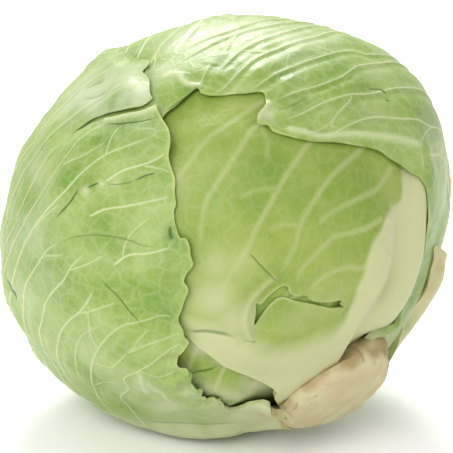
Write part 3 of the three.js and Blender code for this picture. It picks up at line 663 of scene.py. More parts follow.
# A side vein of a leaf as chart points, from the midrib to near the edge, leaning towards the tip.
def veinArc(leaf, angle, sign):
    x0 = 2 * math.tan(math.radians(angle - 90) / 2)
    midway = smooth(angle, *veinLay["sweepOn"]) * (1 - smooth(angle, *veinLay["sweepOff"]))
    circling = 0.5 / math.tan(math.radians(min(angle, veinLay["circleTo"])))
    share = smooth(angle, veinLay["tipFrom"], veinLay["circleTo"])
    bend = circling * (1 - share) + leaf["tipBend"] * share + leaf["sweep"] * midway + 1e-6  # never straight
    v = sign * np.linspace(veinLay["start"], veinLay["length"], veinLay["points"])
    lean = veinLay["lean"] * np.abs(v) - veinLay["leanBack"] * v ** 2
    arc = np.stack([x0 - (1 - np.cos(bend * v)) / bend + lean, np.sin(bend * v) / bend], -1)
    inside = insideBy(arc, leaf["edge"]) > veinLay["offEdge"]
    stop = len(arc) if inside.all() else int(np.argmin(inside))
    return arc[:stop]


# A short vein that leaves another at this share of its length.
def branchOff(line, at, turn, length):
    k = int(at * (len(line) - 1))
    along = line[min(k + 1, len(line) - 1)] - line[max(k - 1, 0)]
    heading = math.atan2(along[1], along[0]) + turn
    steps = np.linspace(0, length, veinLay["twigPoints"])[:, None]
    bent = heading - turn * veinLay["straighten"] * steps / length
    return line[k] + steps * np.concatenate([np.cos(bent), np.sin(bent)], -1)


# The part of a vein before it meets one of the others.
def beforeMeeting(line, others):
    for other in others:
        met = np.nonzero(distanceToLine(line, other, False)[0] < veinLay["apart"])[0]
        if len(met):
            line = line[:met[0] + 1]
    return line


# All veins of a leaf as (chart line, strength), thick ones first.
def layVeins(leaf, rng):
    drawn = [curveOn(leaf, places) for places in leaf.get("veins", [])]
    veins = [(line, veinPower["side"]) for line in drawn]
    veins += [(curveOn(leaf, places), veinPower["branch"]) for places in leaf.get("branches", [])]
    drawnSide, drawnTo = leaf.get("drawnPart", (0, 0))
    angle = veinLay["from"]
    while angle < leaf["tip"] - veinLay["beforeTip"] and not leaf.get("cutEnd"):
        for sign in (-1, 1):
            if sign == drawnSide and angle < drawnTo:
                continue
            start = angle + rng.uniform(-veinLay["scatter"], veinLay["scatter"])
            line = beforeMeeting(veinArc(leaf, start, sign), drawn)
            if len(line) > veinLay["fewest"]:
                veins.append((line, veinPower["side"]))
                for at, turn in veinLay["twigs"]:
                    at = at + rng.uniform(-veinLay["twigShift"], veinLay["twigShift"])
                    twig = branchOff(line, at, turn, rng.uniform(*veinLay["twigLength"]))
                    veins.append((twig, veinPower["twig"]))
        angle += rng.uniform(*veinLay["spacing"])
    return veins


# The points within reach of a line, their distance to it, and the share of its length there. Distances on its
# tip side are below 0.
def alongLine(xy, line, reach):
    near = ((xy > line.min(0) - reach) & (xy < line.max(0) + reach)).all(1)
    picked = np.nonzero(near)[0]
    gap, at, _, side = distanceToLine(xy[picked], line, False)
    facing = 1 if line[-1, 1] > line[0, 1] else -1
    return picked, gap * side * facing, at


# How veins stand up, in millimetres, and shares of their length.
veinForm = {
    "reach": 6, "fieldWidth": 2.6, "hollowAway": 1.8, "hollowWidth": 1.6,
    "taper": 0.5, "startOver": (0.015, 0.04), "endFrom": 0.86,  # the second start is that of branches
    "soft": 0.1, "clear": 0.8,  # a line fades where two are nearly as close
}


# Height of the veins, and the fields that the material draws their lines from, one row for veins and one for
# branches: the distance to the nearest, with a sign for its side, and its strength there. The distance to the
# nearest of all comes last.
def veinRelief(leaf, xy, veins):
    form = veinForm
    scale = chartScale(xy)
    style = leaf["vein"]
    height = np.zeros(len(xy))
    dip = np.zeros(len(xy))
    strength = np.zeros((2, len(xy)))
    side = np.ones((2, len(xy)))
    nearest = np.full((2, len(xy)), float(form["reach"]))
    second = nearest.copy()
    for line, power in veins:
        row = int(power < veinPower["side"])
        picked, gap, at = alongLine(xy, line, form["reach"] / chartScale(line).min())
        away = gap * scale[picked]
        ending = smooth(at, 0, form["startOver"][row]) * (1 - smooth(at, form["endFrom"], 1))
        full = power * (1 - form["taper"] * at) * ending
        near = full * bell(away, form["fieldWidth"])
        height[picked] = np.maximum(height[picked], style["rise"] * (full * bell(away, style["width"])))
        hollow = power * ending * bell(away - form["hollowAway"], form["hollowWidth"])
        dip[picked] = np.maximum(dip[picked], style["dip"] * hollow)
        reach = np.abs(away) + form["reach"] * (1 - ending)
        closer = reach < nearest[row, picked]
        second[row, picked] = np.where(closer, nearest[row, picked], np.minimum(second[row, picked], reach))
        nearest[row, picked[closer]] = reach[closer]
        side[row, picked[closer]] = np.clip(away[closer] / form["reach"], -1, 1)
        strength[row, picked[closer]] = near[closer]
    strength *= smooth((second - nearest) / (nearest + form["soft"]), 0, form["clear"])
    return height - dip * (1 - np.clip(height / style["rise"], 0, 1)), side, strength, nearest.min(0)


def readPlaces(piece):
    places = np.empty(len(piece.data.vertices) * 3)
    piece.data.vertices.foreach_get("co", places)
    return places.reshape(-1, 3)


def writePlaces(piece, places):
    piece.data.vertices.foreach_set("co", places.ravel())
    piece.data.update()


def addFields(piece, fields):
    for name, values in fields.items():
        layer = piece.data.attributes.new(name, "FLOAT", "POINT")
        layer.data.foreach_set("value", np.clip(values, -1, 1).astype(np.float32))


# Keeps the largest part of a mesh that holds together by its faces.
def dropScraps(bm):
    bm.faces.ensure_lookup_table()
    seen = set()
    groups = []
    for face in bm.faces:
        if face.index in seen:
            continue
        group, queue = [], [face]
        seen.add(face.index)
        while queue:
            current = queue.pop()
            group.append(current)
            for other in (other for edge in current.edges for other in edge.link_faces):
                if other.index not in seen:
                    seen.add(other.index)
                    queue.append(other)
        groups.append(group)
    groups.sort(key=len)
    scraps = [face for group in groups[:-1] for face in group]
    bmesh.ops.delete(bm, geom=scraps, context="FACES")


margin = {
    "start": 14.4,      # the leaf bases begin at this angle, just inside the stump's side
    "free": (18, 30),   # and are crowded up to these
    "thickness": 0.5,   # of a leaf at its edge, in millimetres
    "baseShare": 0.8,   # with so much of what the blade has more at its base
    "thinning": 9,      # the blade gets thinner over this far
    "press": 1.3,       # a free edge lies this much closer to the leaf below
    "pressReach": 11,
    "wave": 0.7,        # it waves out by this much
    "waveIn": -0.3,     # and in by this share of it
    "waveLength": 9,
    "frillLength": 3.6,
    "snap": 1.3,        # the grid's border goes to the outline from this many cells away,
    "snapBase": 1.2,    # and to the end of the base
    "smoothTo": 50,     # shading is smooth up to this angle
}


# A flat grid over the leaf's outline, cut to it and to its tears, with its border moved on to them.
def cutGrid(leaf):
    cell = leaf["cell"]
    low, high = leaf["edge"].min(0), leaf["edge"].max(0)
    wide, tall = high - low + 2 * cell
    bpy.ops.object.select_all(action="DESELECT")
    bpy.ops.mesh.primitive_grid_add(
        x_subdivisions=round(wide / cell), y_subdivisions=round(tall / cell), size=1)
    piece = bpy.context.object
    piece.name = piece.data.name = leaf["piece"]
    middle = (low + high) / 2
    piece.scale = (wide, tall, 1)
    piece.location = (middle[0], middle[1], 0)
    bpy.ops.object.transform_apply(location=True, rotation=False, scale=True)

    centres = np.empty(len(piece.data.polygons) * 3)
    piece.data.polygons.foreach_get("center", centres)
    centres = centres.reshape(-1, 3)[:, :2]
    keep = isInside(centres, leaf["edge"]) & (angleFromStem(fromChart(leaf, centres)) > margin["start"])
    for slot in leaf["slots"]:
        keep &= ~isInside(centres, slot)

    bm = bmesh.new()
    bm.from_mesh(piece.data)
    bm.faces.ensure_lookup_table()
    bmesh.ops.delete(bm, geom=[bm.faces[i] for i in np.nonzero(~keep)[0]], context="FACES")
    dropScraps(bm)
    border = [v for v in bm.verts if v.is_boundary]
    places = np.array([v.co[:2] for v in border])
    best = np.full(len(places), np.inf)
    target = places.copy()
    for line in [leaf["edge"], *leaf["slots"]]:
        gap, _, foot, _ = distanceToLine(places, line, True)
        closer = (gap < best) & (gap < margin["snap"] * cell)
        best[closer] = gap[closer]
        target[closer] = foot[closer]
    d = fromChart(leaf, target)
    atBase = angleFromStem(d) < margin["start"] + margin["snapBase"] * math.degrees(cell)
    baseLine = directionAt(np.full(atBase.sum(), margin["start"]), turnOf(d)[atBase])
    target[atBase] = toChart(leaf, baseLine)
    for v, place in zip(border, target):
        v.co[0], v.co[1] = place
    bm.to_mesh(piece.data)
    bm.free()
    return piece


# What is added to each leaf's number for a noise pattern of its own.
seeds = {"veins": 11, "wave": 1, "frill": 5, "broad": 20, "small": 30, "base": 40, "waxAndHighlight": 50, "rim": 60}
relief = {  # heights, then the lengths that they go over
    "broad": (0.5, 14), "small": (0.16, 5),
    "puff": (0.45, 0.5, 5),  # between the veins, from and to this far from one
    "fold": (0.9, 1.2), "foldReach": 4,
    "creaseReach": 5, "creaseFlanks": 1.3, "creaseShade": 2, "creaseEnds": 0.3,
    "veinsGrow": (22, 40),   # veins rise between these angles
    "covered": 0.2,          # so much is left of it where another leaf lies on top
}


# Folds: lines of soft raised tissue.
def foldRelief(leaf, xy, scale):
    fold = np.zeros(len(xy))
    for places in leaf.get("folds", []):
        picked, gap, _ = alongLine(xy, curveOn(leaf, places), relief["foldReach"] / head["longRadius"])
        fold[picked] = np.maximum(fold[picked], bell(gap * scale[picked], relief["fold"][1]))
    return fold


# Creases: the groove's depth, and where the material paints a dark line of shade down it, as a side and a
# strength.
def creaseRelief(leaf, xy, scale):
    groove = np.zeros(len(xy))
    dark = np.zeros(len(xy))
    darkSide = np.ones(len(xy))
    ending = relief["creaseEnds"]
    for places, depth, width, tint in leaf.get("creases", []):
        line = curveOn(leaf, places)
        picked, gap, at = alongLine(xy, line, relief["creaseReach"] / chartScale(line).min())
        away = gap * scale[picked]
        ends = smooth(at, 0, ending) * (1 - smooth(at, 1 - ending, 1))
        flanks = bell(away, relief["creaseFlanks"] * width)
        groove[picked] = np.maximum(groove[picked], depth * ends * flanks)
        near = tint * ends * bell(away, relief["creaseShade"])
        stronger = near > dark[picked]
        darkSide[picked[stronger]] = np.clip(away[stronger] / (veinForm["reach"] * width), -1, 1)
        dark[picked[stronger]] = near[stronger]
    return groove, darkSide, dark


# How colours lie on a leaf, in degrees and millimetres.
tinting = {
    "baseWaver": (3, 9),            # the white base's edge wavers by this much, over this length
    "ribNarrow": (0.8, 0.35, 50),   # a midrib's white share, what it loses, and from which angle on
    "ribFade": (65, 10), "ribWhite": 0.9,
    "areaSoft": (1.2, 5), "areaSoftTurn": (-30, -10), "areaWaver": (0.8, 6, 3),  # the white area's edge
    "deepOverPale": 0.9,
    "shadeOut": 0.6, "shadeWidth": 2.2, "shade": 0.35,  # painted shade: a leaf is darker along an edge that lies on it
    "scarAt": 15.2, "scarWidth": 0.8, "scarNoise": (5, 9, -0.5, 0.1),  # a brown line round the stump
    "waxAndHighlightNoise": (10, -0.9, 0.2), "rimNoise": (11, -0.4, 0.5), "rimWidth": 1.0,
}


# How white a leaf is: at its base, along its midrib, and in patches.
def whiteness(leaf, number, d, xy, angle, scale):
    look = tinting
    to, soft = leaf["white"]
    height, length = look["baseWaver"]
    white = 1 - smooth(angle + height * bumps(d, length, number + seeds["base"]), to, to + soft)
    whole, less, narrowFrom = look["ribNarrow"]
    end = leaf["rib"]["end"]
    ribWidth = leaf["rib"]["width"] * (whole - less * smooth(angle, narrowFrom, end))
    fadeFrom, fadePast = look["ribFade"]
    ribWhite = bell((d @ leaf["toSide"]) * head["longRadius"], ribWidth)
    ribWhite *= 1 - smooth(angle, fadeFrom, end + fadePast)
    white = np.maximum(white, look["ribWhite"] * ribWhite * (d @ leaf["out"] > 0))
    if "whiteArea" in leaf:
        within = insideBy(xy, curveOn(leaf, leaf["whiteArea"], True)) * scale
        sharp, softer = look["areaSoft"]
        soft = sharp + softer * smooth(turnOf(d), *look["areaSoftTurn"])
        height, length, seed = look["areaWaver"]
        white = np.maximum(white, smooth(within + height * bumps(d, length, seed), -soft, soft))
    return np.maximum(white, spotMax(d, leaf.get("pale", [])))


# Outer place of each chart point, thickness there, and the fields that its colours come from.
def shapeLeaf(leaf, number, xy):
    d = fromChart(leaf, xy)
    angle = angleFromStem(d)
    scale = chartScale(xy)
    inner = insideBy(xy, leaf["edge"]) * scale
    for slot in leaf["slots"]:
        inner = np.minimum(inner, -insideBy(xy, slot) * scale)
    inner = np.maximum(inner, 0)
    depths = depthsInLeaves(d)
    free = 1 - cover(depths[number + 1:], angle).max(0, initial=0)
    flat = offFlat(d)
    away = smooth(angle, *margin["free"])

    thickness = bladeThickness(angle)
    edgeThickness = margin["thickness"] + margin["baseShare"] * blade["baseThickness"] * baseFade(angle)
    thickness += (edgeThickness - thickness) * (1 - smooth(inner, 0, margin["thinning"])) * away
    waves = bumps(d, margin["waveLength"], number + seeds["wave"])
    frills = spotSum(d, leaf.get("frills", [])) * bumps(d, margin["frillLength"], number + seeds["frill"])
    wave = margin["wave"] * np.maximum(waves, margin["waveIn"]) + frills * 2
    wave += spotSum(d, leaf.get("lifts", []))
    edge = (1 - smooth(inner, 0, margin["pressReach"])) * free * away * flat

    veins = layVeins(leaf, np.random.default_rng(number + seeds["veins"]))
    veinHeight, (veinSide, twigSide), (vein, twig), nearest = veinRelief(leaf, xy, veins)
    fold = foldRelief(leaf, xy, scale)
    groove, darkSide, dark = creaseRelief(leaf, xy, scale)
    rough = np.zeros(len(d))
    for kind in ("broad", "small"):
        high, length = relief[kind]
        rough += high * bumps(d, length, number + seeds[kind])
    puff = relief["puff"][0] * smooth(nearest, *relief["puff"][1:])
    raised = veinHeight * smooth(angle, *relief["veinsGrow"]) + puff + rough * away + relief["fold"][0] * fold
    outer = heartRadius(d, depths) + stackHeight(d, depths, number) + thickness + ribHeight(leaf, d, 1) * flat
    outer += (raised - groove) * flat * (relief["covered"] + (1 - relief["covered"]) * free)
    outer += edge * (wave - margin["press"]) - spotSum(d, leaf.get("sinks", []))

    look = tinting
    deep = spotMax(d, leaf.get("deep", []))
    # Painted shade along the edges of leaves that lie on this one.
    shade = bell(np.abs(depths[number + 1:] + look["shadeOut"]), look["shadeWidth"]).max(0, initial=0)
    scarLine = bell(angle - look["scarAt"], look["scarWidth"]) * speckle(d, *look["scarNoise"])
    # Noise that breaks up the whitish wax patches, which paint waxy bloom and highlights, and the pale rim.
    waxAndHighlightSpots, paled = (speckle(d, length, number + seeds[kind], low, high) for kind, (length, low, high) in (
        ("waxAndHighlight", look["waxAndHighlightNoise"]), ("rim", look["rimNoise"])))
    fields = {
        "veinSide": veinSide, "vein": vein * away, "twigSide": twigSide, "twig": twig * away, "fold": fold,
        "pale": whiteness(leaf, number, d, xy, angle, scale) * (1 - look["deepOverPale"] * deep),
        # The deep field mixes darker green tone with painted shade: from the deep patches marked so, and
        # along the edges of leaves lying on this one.
        "deep": np.maximum(deep, look["shade"] * shade * away),
        "waxAndHighlight": spotMax(d, leaf.get("waxAndHighlight", [])) * waxAndHighlightSpots,
        # Where the dark green painted as shade down creases lies.
        "cutSide": darkSide, "cut": dark,
        "scar": np.maximum(spotMax(d, leaf.get("scar", [])), scarLine),
        "rim": (1 - smooth(inner, 0, look["rimWidth"])) * away * paled,
    }
    return d, outer, thickness, fields


def makeLeaf(leaf, number):
    piece = cutGrid(leaf)
    xy = readPlaces(piece)[:, :2].copy()
    d, outer, thickness, fields = shapeLeaf(leaf, number, xy)
    writePlaces(piece, toPlace(d, outer))
    addFields(piece, fields)
    thickest = thickness.max()
    group = piece.vertex_groups.new(name="thickness")
    for k, share in enumerate(thickness / thickest):
        group.add([k], float(share), "REPLACE")
    wall = piece.modifiers.new("wall", "SOLIDIFY")
    wall.thickness = thickest * mm
    wall.offset = -1
    wall.vertex_group = "thickness"
    wall.use_even_offset = False
    bpy.ops.object.modifier_apply(modifier="wall")
    bpy.ops.object.shade_smooth_by_angle(angle=math.radians(margin["smoothTo"]))
    return piece


# A ball to be shaped, with the places of its points.
def addBall(name, segments, rings):
    bpy.ops.object.select_all(action="DESELECT")
    bpy.ops.mesh.primitive_uv_sphere_add(segments=segments, ring_count=rings, radius=1)
    piece = bpy.context.object
    piece.name = piece.data.name = name
    return piece, readPlaces(piece)


def finishBall(piece, points, fields):
    writePlaces(piece, points)
    bpy.ops.object.mode_set(mode="EDIT")
    bpy.ops.mesh.select_all(action="SELECT")
    bpy.ops.mesh.normals_make_consistent(inside=False)
    bpy.ops.object.mode_set(mode="OBJECT")
    bpy.ops.object.shade_smooth()
    addFields(piece, fields)
    return piece


# The heart is a ball of more leaves: each one here is an outer leaf's outline, turned about the stem.
heart = {
    "segments": 176, "rings": 112,
    "leaves": [(4, 150), (3, 20), (1, 175), (4, 15)],  # the outer leaf's place in the list, turn
    "step": 0.5, "edgeSoft": 0.6, "rimWidth": 1.5,
    "relief": 0.25, "bumpLength": 14, "bumpSeed": 77, "sink": 0.3,  # it lies this much lower than its solid
    "free": (24, 40), "white": (25, 60),  # angles from the stem: its relief grows, its white base fades
}


def makeHeart():
    piece, ball = addBall("heart_leaves", heart["segments"], heart["rings"])
    d = ball[:, :1] * frontSide + ball[:, 1:2] * leftSide + ball[:, 2:] * stemAxis
    angle, turn = angleFromStem(d), turnOf(d)
    away = smooth(angle, *heart["free"]) * offFlat(d)
    level, vein, height, rim = np.zeros((4, len(d)))
    veinSide = np.ones(len(d))
    for count, (number, shift) in enumerate(heart["leaves"]):
        leaf = leaves[number]
        near, xy, depth = depthInLeaf(leaf, directionAt(angle, turn - shift))
        on = smooth(depth, -heart["edgeSoft"], heart["edgeSoft"])
        rise, side, strength, _ = veinRelief(leaf, xy, layVeins(leaf, np.random.default_rng(count)))
        level[near] += on
        height[near] = height[near] * (1 - on) + rise * on
        vein[near] = vein[near] * (1 - on) + strength[0] * on
        veinSide[near] = np.where(on > 0.5, side[0], veinSide[near])
        rim[near] = rim[near] * (1 - on) + bell(depth, heart["rimWidth"]) * on
    raised = heart["relief"] * height + heart["relief"] * bumps(d, heart["bumpLength"], heart["bumpSeed"])
    sunk = heart["step"] * (level - len(heart["leaves"])) + raised - heart["sink"]
    radius = heartRadius(d, depthsInLeaves(d)) + sunk * away
    fields = {"veinSide": veinSide, "vein": vein, "pale": 1 - smooth(angle, *heart["white"]), "rim": rim}
    return finishBall(piece, toPlace(d, radius), fields)


# The cut stump: a domed cut face, a rounded rim and a root that sits just clear of the heart. Shares are of
# the way from the middle of the cut face to the end of the root.
stumpForm = {
    "segments": 192, "rings": 128,
    "cutDistance": 79.6, "dome": 2.5, "highTurn": 190, "tilt": 1.1, "saddle": 1.2,
    "rimShare": 0.62, "rimFrom": 0.3, "rimDrop": 3.1,
    "frontDrop": (0, 45, 1.6),  # the rim is lower here: turn, reach and depth
    "ledge": (-85, 42, 4.5),    # and old leaf bases stand out below it here: turn, reach and degrees
    "ledgeShares": (0.05, 0.16), "rootShares": (0.01, 0.12), "rootGap": 0.4,
    "rough": (0.35, 7, 51), "fibres": (0.2, 2.2, 52), "brownWaver": (0.12, 5, 54),  # height, length, seed
    "chipDepth": 0.6, "chips": (4.5, 53, 0.25, 0.6), "brown": (6, 55, -0.3, 0.4),   # length, seed, low, high
    "leastBrown": 0.35, "pitted": 0.6, "pits": (2.4, 57, 0.42, 0.7),
    "fibresGrow": (0.2, 0.9), "chipsGrow": (0.75, 0.97), "brownGrows": (0.82, 1.0), "pitsGrow": (0.5, 1),
}


def makeStump():
    form = stumpForm
    piece, ball = addBall("cut_stump", form["segments"], form["rings"])
    share = np.arccos(np.clip(ball[:, 2], -1, 1)) / math.pi
    turn = np.degrees(np.arctan2(ball[:, 1], ball[:, 0]))
    half, rimShare = stump["halfAngle"], form["rimShare"]
    below = share - rimShare
    face = half * np.sin(np.clip(share / rimShare, 0, 1) * math.pi / 2)
    angle = np.where(below < 0, face, half * (1 - share) / (1 - rimShare))
    ledgeTurn, reach, degrees = form["ledge"]
    full, end = form["ledgeShares"]
    ledge = smooth(below, 0, full) * (1 - smooth(below, full, end))
    angle += degrees * ledge * bell((turn - ledgeTurn + 180) % 360 - 180, reach)
    d = directionAt(angle, turn)
    outward = angle / half

    past = np.radians(turn - form["highTurn"])
    lowTurn, reach, depth = form["frontDrop"]
    rim = form["tilt"] * np.cos(past) + form["saddle"] * np.cos(2 * past)
    rim -= depth * bell(turn - lowTurn, reach)
    cut = form["cutDistance"] / np.cos(np.radians(angle)) + form["dome"] * (1 - outward ** 2)
    cut += rim * outward ** 2 - form["rimDrop"] * smooth(share, form["rimFrom"], rimShare) ** 2
    noises = (form[kind] for kind in ("rough", "fibres", "brownWaver"))
    rough, fibres, waver = (height * bumps(d, length, seed) for height, length, seed in noises)
    cut += rough + fibres * smooth(outward, *form["fibresGrow"])
    cut -= form["chipDepth"] * speckle(d, *form["chips"]) * smooth(outward, *form["chipsGrow"])
    root = heartRadius(d, depthsInLeaves(d)) + form["rootGap"]
    low = smooth(below, *form["rootShares"])
    radius = cut * (1 - low) + root * low
    browned = form["leastBrown"] + (1 - form["leastBrown"]) * speckle(d, *form["brown"])
    return finishBall(piece, toPlace(d, radius), {
        "scar": smooth(outward + waver, *form["brownGrows"]) * browned,
        "pits": speckle(d, *form["pits"]) * smooth(outward, *form["pitsGrow"]) * form["pitted"],
    })


pieces = {}
for number, leaf in enumerate(leaves):
    pieces[leaf["node"]] = makeLeaf(leaf, number)
    print(leaf["node"], "made,", len(pieces[leaf["node"]].data.polygons), "faces")
for node, make in (("heart", makeHeart), ("stem", makeStump)):
    pieces[node] = make()
    print(node, "made,", len(pieces[node].data.polygons), "faces")
for node, piece in pieces.items():
    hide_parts(node)
    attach(piece, "root")


def toLinear(srgb):
    parts = [int(srgb[i:i + 2], 16) / 255 for i in (1, 3, 5)]
    return (*(c / 12.92 if c <= 0.04045 else ((c + 0.055) / 1.055) ** 2.4 for c in parts), 1)


# Adds a node with its settings. Each input gets a value, or a link from another node's socket.
def addNode(tree, kind, inputs, **settings):
    node = tree.nodes.new("ShaderNode" + kind)
    for key, value in settings.items():
        setattr(node, key, value)
    for key, value in inputs.items():
        if isinstance(value, bpy.types.NodeSocket):
            tree.links.new(value, node.inputs[key])
        else:
            node.inputs[key].default_value = value
    return node


def newMaterial(name):
    material = bpy.data.materials.new(name)
    material.use_nodes = True
    tree = material.node_tree
    tree.nodes.clear()
    return material, tree


# Cabbage leaf: thin green tissue under a dull coat of wax, with a net of pale veins. The wax gives broad soft
# highlights, partly from the gloss and partly painted in its whitish colour, and light goes a little way into
# the tissue.
leafLook = {
    "outer_leaf": {
        "light": "#8ca348", "dark": "#719031", "deep": "#587e24", "vein": "#bec798", "pale": "#b9bd93",
        "rim": "#bac178", "roughness": 0.42, "waxAndHighlight": "#c0c8ae", "bloom": 0.14,
        "veinWidth": 0.6, "veinTint": 0.85, "veinBump": 2.5,
    },
    "main_leaf": {
        "light": "#8a9c3e", "dark": "#7a9232", "deep": "#668828", "vein": "#a6af74", "pale": "#babb8c",
        "rim": "#bac08a", "roughness": 0.42, "bloom": 0.03, "veinWidth": 1.9, "veinTint": 0.62,
    },
    "inner_leaf": {
        "light": "#8fa244", "dark": "#789231", "deep": "#426913", "vein": "#a8b176", "pale": "#b8ba93",
        "rim": "#bcc18e", "roughness": 0.38, "bloom": 0.03, "veinWidth": 1.8, "veinTint": 0.7,
    },
    "heart_leaf": {
        "light": "#9cab60", "dark": "#8aa049", "deep": "#78933c", "vein": "#b5bd8e", "pale": "#b7ba93",
        "rim": "#b7bc87", "roughness": 0.4, "bloom": 0.1, "veinWidth": 1.2, "veinTint": 0.8,
    },
    "trimmed_leaf_base": {
        "light": "#b4b079", "dark": "#aba96f", "deep": "#63862a", "vein": "#b9b88a", "pale": "#bcb688",
        "rim": "#afa765", "roughness": 0.5, "bloom": 0.05, "veinWidth": 2.0, "veinTint": 0.4,
    },
}
# The cut colour is the dark green painted as shade down creases and cracks.
leafShared = {"waxAndHighlight": "#bdc3a6", "cut": "#3d5f12", "scar": "#a8894a", "veinBump": 1.0}
leafGrain = {  # sizes in metres
    "patch": 0.022, "mottle": 0.004, "skin": 0.0007,  # light and dark areas, mottling, and the skin's grain
    "netCell": 0.0055, "netLine": 0.16,   # the cells between small veins, and the lines' share of them
    "fineCell": 0.0018, "fineLine": 0.2,  # the finest net, drawn coarser than it grows so that it shows
    "wander": 0.006, "bend": 0.0016,      # the nets wander over this length by this much
}


def leafMaterial(slot):
    look = {**leafShared, **leafLook[slot]}
    material, tree = newMaterial(slot.replace("_", " ") + ", waxy cabbage")
    place = addNode(tree, "TexCoord", {}).outputs["Object"]
    field = {
        name: addNode(tree, "Attribute", {}, attribute_name=name).outputs["Fac"]
        for name in ("vein", "veinSide", "twig", "twigSide", "fold", "pale", "deep", "waxAndHighlight", "cut", "cutSide",
                     "scar", "rim")
    }
    broad, mottle, skin, wander = (
        addNode(tree, "TexNoise", {"Scale": 1 / leafGrain[size], "Detail": detail, "Vector": place}).outputs
        for size, detail in (("patch", 3.0), ("mottle", 4.0), ("skin", 2.0), ("wander", 2.0)))
    shift = addNode(tree, "VectorMath", {"Scale": 2 * leafGrain["bend"], 0: wander["Color"]},
                    operation="SCALE").outputs["Vector"]
    bent = addNode(tree, "VectorMath", {0: place, 1: shift}, operation="ADD").outputs["Vector"]

    # 1 where a value is 0, and 0 where it is past a width.
    def lineAt(value, width):
        return addNode(tree, "MapRange", {
            "From Min": 0.0, "From Max": width, "To Min": 1.0, "To Max": 0.0, "Value": value,
        }, interpolation_type="SMOOTHSTEP").outputs["Result"]

    # A fine line down the middle of a field that changes sign there, this many millimetres wide.
    def lineFrom(side, strength, width):
        middle = addNode(tree, "Math", {0: field[side]}, operation="ABSOLUTE").outputs["Value"]
        line = lineAt(middle, width / veinForm["reach"])
        return addNode(tree, "Math", {0: line, 1: field[strength]}, operation="MULTIPLY").outputs["Value"]

    net, fineNet = (
        lineAt(addNode(tree, "TexVoronoi", {"Scale": 1 / leafGrain[cell], "Vector": bent},
                       feature="DISTANCE_TO_EDGE").outputs["Distance"], leafGrain[reach])
        for cell, reach in (("netCell", "netLine"), ("fineCell", "fineLine")))
    thick, thin = (lineFrom(part + "Side", part, look["veinWidth"]) for part in ("vein", "twig"))
    veinLine = addNode(tree, "Math", {0: thick, 1: thin}, operation="MAXIMUM").outputs["Value"]
    # The dark line painted as shade down each crease.
    creaseShadeLine = lineFrom("cutSide", "cut", 1.0)

    # Painted light among these tints: deep also paints shade, the whitish wax colour also paints highlights,
    # and cut paints shade down creases.
    colour = toLinear(look["light"])
    for tint, amount, by, low, high in (  # each over the last, up to this amount as what it goes by rises
        ("dark", 1.0, broad["Fac"], 0.35, 0.65), ("light", 0.5, mottle["Fac"], 0.45, 0.7),
        ("deep", 0.85, field["deep"], 0, 1), ("waxAndHighlight", look["bloom"], broad["Fac"], 0.6, 0.35),
        ("waxAndHighlight", 0.85, field["waxAndHighlight"], 0, 1), ("vein", 0.08, fineNet, 0, 1), ("vein", 0.14, net, 0, 1),
        ("vein", look["veinTint"], veinLine, 0, 0.75), ("vein", 0.8, field["fold"], 0, 1),
        ("pale", 0.95, field["pale"], 0, 1), ("rim", 0.7, field["rim"], 0, 1),
        ("cut", 0.9, creaseShadeLine, 0, 0.7), ("scar", 0.75, field["scar"], 0, 1),
    ):
        fade = addNode(tree, "MapRange", {
            "From Min": low, "From Max": high, "To Min": 0.0, "To Max": amount, "Value": by,
        }).outputs["Result"]
        colour = addNode(tree, "Mix", {"Factor": fade, 6: colour, 7: toLinear(look[tint])},
                         data_type="RGBA").outputs[2]

    height = net
    for part, much in ((veinLine, look["veinBump"]), (fineNet, 0.25), (skin["Fac"], 0.15)):
        height = addNode(tree, "Math", {0: part, 1: much, 2: height},
                         operation="MULTIPLY_ADD").outputs["Value"]
    bump = addNode(tree, "Bump", {"Strength": 0.3, "Distance": 0.00018, "Height": height})
    gloss = addNode(tree, "MapRange", {
        "From Min": 0.3, "From Max": 0.7, "Value": mottle["Fac"],
        "To Min": look["roughness"] - 0.06, "To Max": look["roughness"] + 0.08,
    })
    shader = addNode(tree, "BsdfPrincipled", {
        "Base Color": colour, "Roughness": gloss.outputs["Result"], "Normal": bump.outputs["Normal"],
        "Subsurface Weight": 0.12, "Subsurface Radius": (0.6, 1.0, 0.25), "Subsurface Scale": 0.0015,
        "Specular IOR Level": 0.4, "IOR": 1.45,
    })
    addNode(tree, "OutputMaterial", {"Surface": shader.outputs["BSDF"]})
    return material


# Cut cabbage stalk: firm pale fibre that dries matt and beige, browned where it was torn or bruised.
stalkLook = {
    "fresh": "#c6c096", "dry": "#bcae85", "pink": "#c0b38c", "brown": "#886d33", "dark": "#604e22",
    "patch": 0.009, "fibre": 0.0009, "pore": 0.0016,  # metres
}


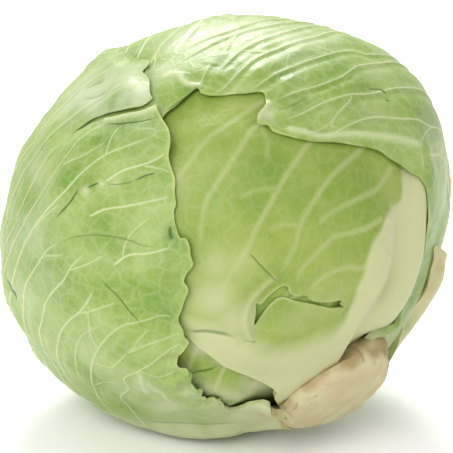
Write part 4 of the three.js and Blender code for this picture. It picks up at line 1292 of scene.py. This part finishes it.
def stalkMaterial():
    look = stalkLook
    material, tree = newMaterial("cut cabbage stalk, dried")
    place = addNode(tree, "TexCoord", {}).outputs["Object"]
    scar, pits = (addNode(tree, "Attribute", {}, attribute_name=name).outputs["Fac"]
                  for name in ("scar", "pits"))
    broad, fine = (
        addNode(tree, "TexNoise", {"Scale": 1 / look[size], "Detail": detail, "Vector": place}).outputs["Fac"]
        for size, detail in (("patch", 4.0), ("fibre", 3.0)))
    pores = addNode(tree, "TexVoronoi", {"Scale": 1 / look["pore"], "Vector": place}).outputs["Distance"]
    base = addNode(tree, "ValToRGB", {"Fac": broad})
    ramp = base.color_ramp.elements
    ramp[0].position, ramp[0].color = 0.35, toLinear(look["dry"])
    ramp[1].position, ramp[1].color = 0.65, toLinear(look["fresh"])
    ramp.new(0.5).color = toLinear(look["pink"])
    colour = base.outputs["Color"]
    for by, tint, amount in ((scar, "brown", 0.75), (pits, "dark", 0.7)):
        fade = addNode(tree, "Math", {0: by, 1: amount}, operation="MULTIPLY").outputs["Value"]
        colour = addNode(tree, "Mix", {"Factor": fade, 6: colour, 7: toLinear(look[tint])},
                         data_type="RGBA").outputs[2]
    height = addNode(tree, "Math", {0: fine, 1: 0.8, 2: pores}, operation="MULTIPLY_ADD").outputs["Value"]
    bump = addNode(tree, "Bump", {"Strength": 0.4, "Distance": 0.0003, "Height": height})
    shader = addNode(tree, "BsdfPrincipled", {
        "Base Color": colour, "Roughness": 0.75, "Normal": bump.outputs["Normal"],
        "Subsurface Weight": 0.1, "Subsurface Radius": (1.0, 0.8, 0.5), "Subsurface Scale": 0.001, "IOR": 1.4,
    })
    addNode(tree, "OutputMaterial", {"Surface": shader.outputs["BSDF"]})
    return material


materials = {slot: leafMaterial(slot) for slot in leafLook}
materials["cut_stem"] = stalkMaterial()
for node, piece in pieces.items():
    piece.data.materials.clear()
    piece.data.materials.append(materials[slotOf[node]])
print("materials made")


# A plain pale floor in a bright room, with a soft light above and behind and a wider one in front.
studio = {
    "room": 0.85, "floorSize": 8, "floor": "#fbfbfb", "floorRoughness": 0.9,
    "lights": [  # place, aim, width, power in watts
        ((-0.05, 0.62, 0.78), (0, 0, 0.08), 0.35, 8),
        ((-0.45, -0.95, 0.75), (0, 0, 0.07), 0.8, 8),
    ],
}


def addStudio():
    bpy.ops.object.select_all(action="DESELECT")
    bpy.ops.mesh.primitive_plane_add(size=studio["floorSize"])
    floor = bpy.context.object
    floor.name = "floor"
    material, tree = newMaterial("matt white board")
    shader = addNode(tree, "BsdfPrincipled", {
        "Base Color": toLinear(studio["floor"]), "Roughness": studio["floorRoughness"], "IOR": 1.3,
    })
    addNode(tree, "OutputMaterial", {"Surface": shader.outputs["BSDF"]})
    floor.data.materials.append(material)
    for place, aim, width, power in studio["lights"]:
        direction = Vector(aim) - Vector(place)
        bpy.ops.object.light_add(type="AREA", location=place)
        lamp = bpy.context.object
        lamp.rotation_euler = direction.to_track_quat("-Z", "Y").to_euler()
        lamp.data.size = width
        lamp.data.energy = power
    room = bpy.data.worlds.new("room")
    room.use_nodes = True
    room.node_tree.nodes["Background"].inputs["Color"].default_value = (1, 1, 1, 1)
    room.node_tree.nodes["Background"].inputs["Strength"].default_value = studio["room"]
    bpy.context.scene.world = room
    bpy.context.scene.view_settings.view_transform = "Standard"


addStudio()
print("studio set")
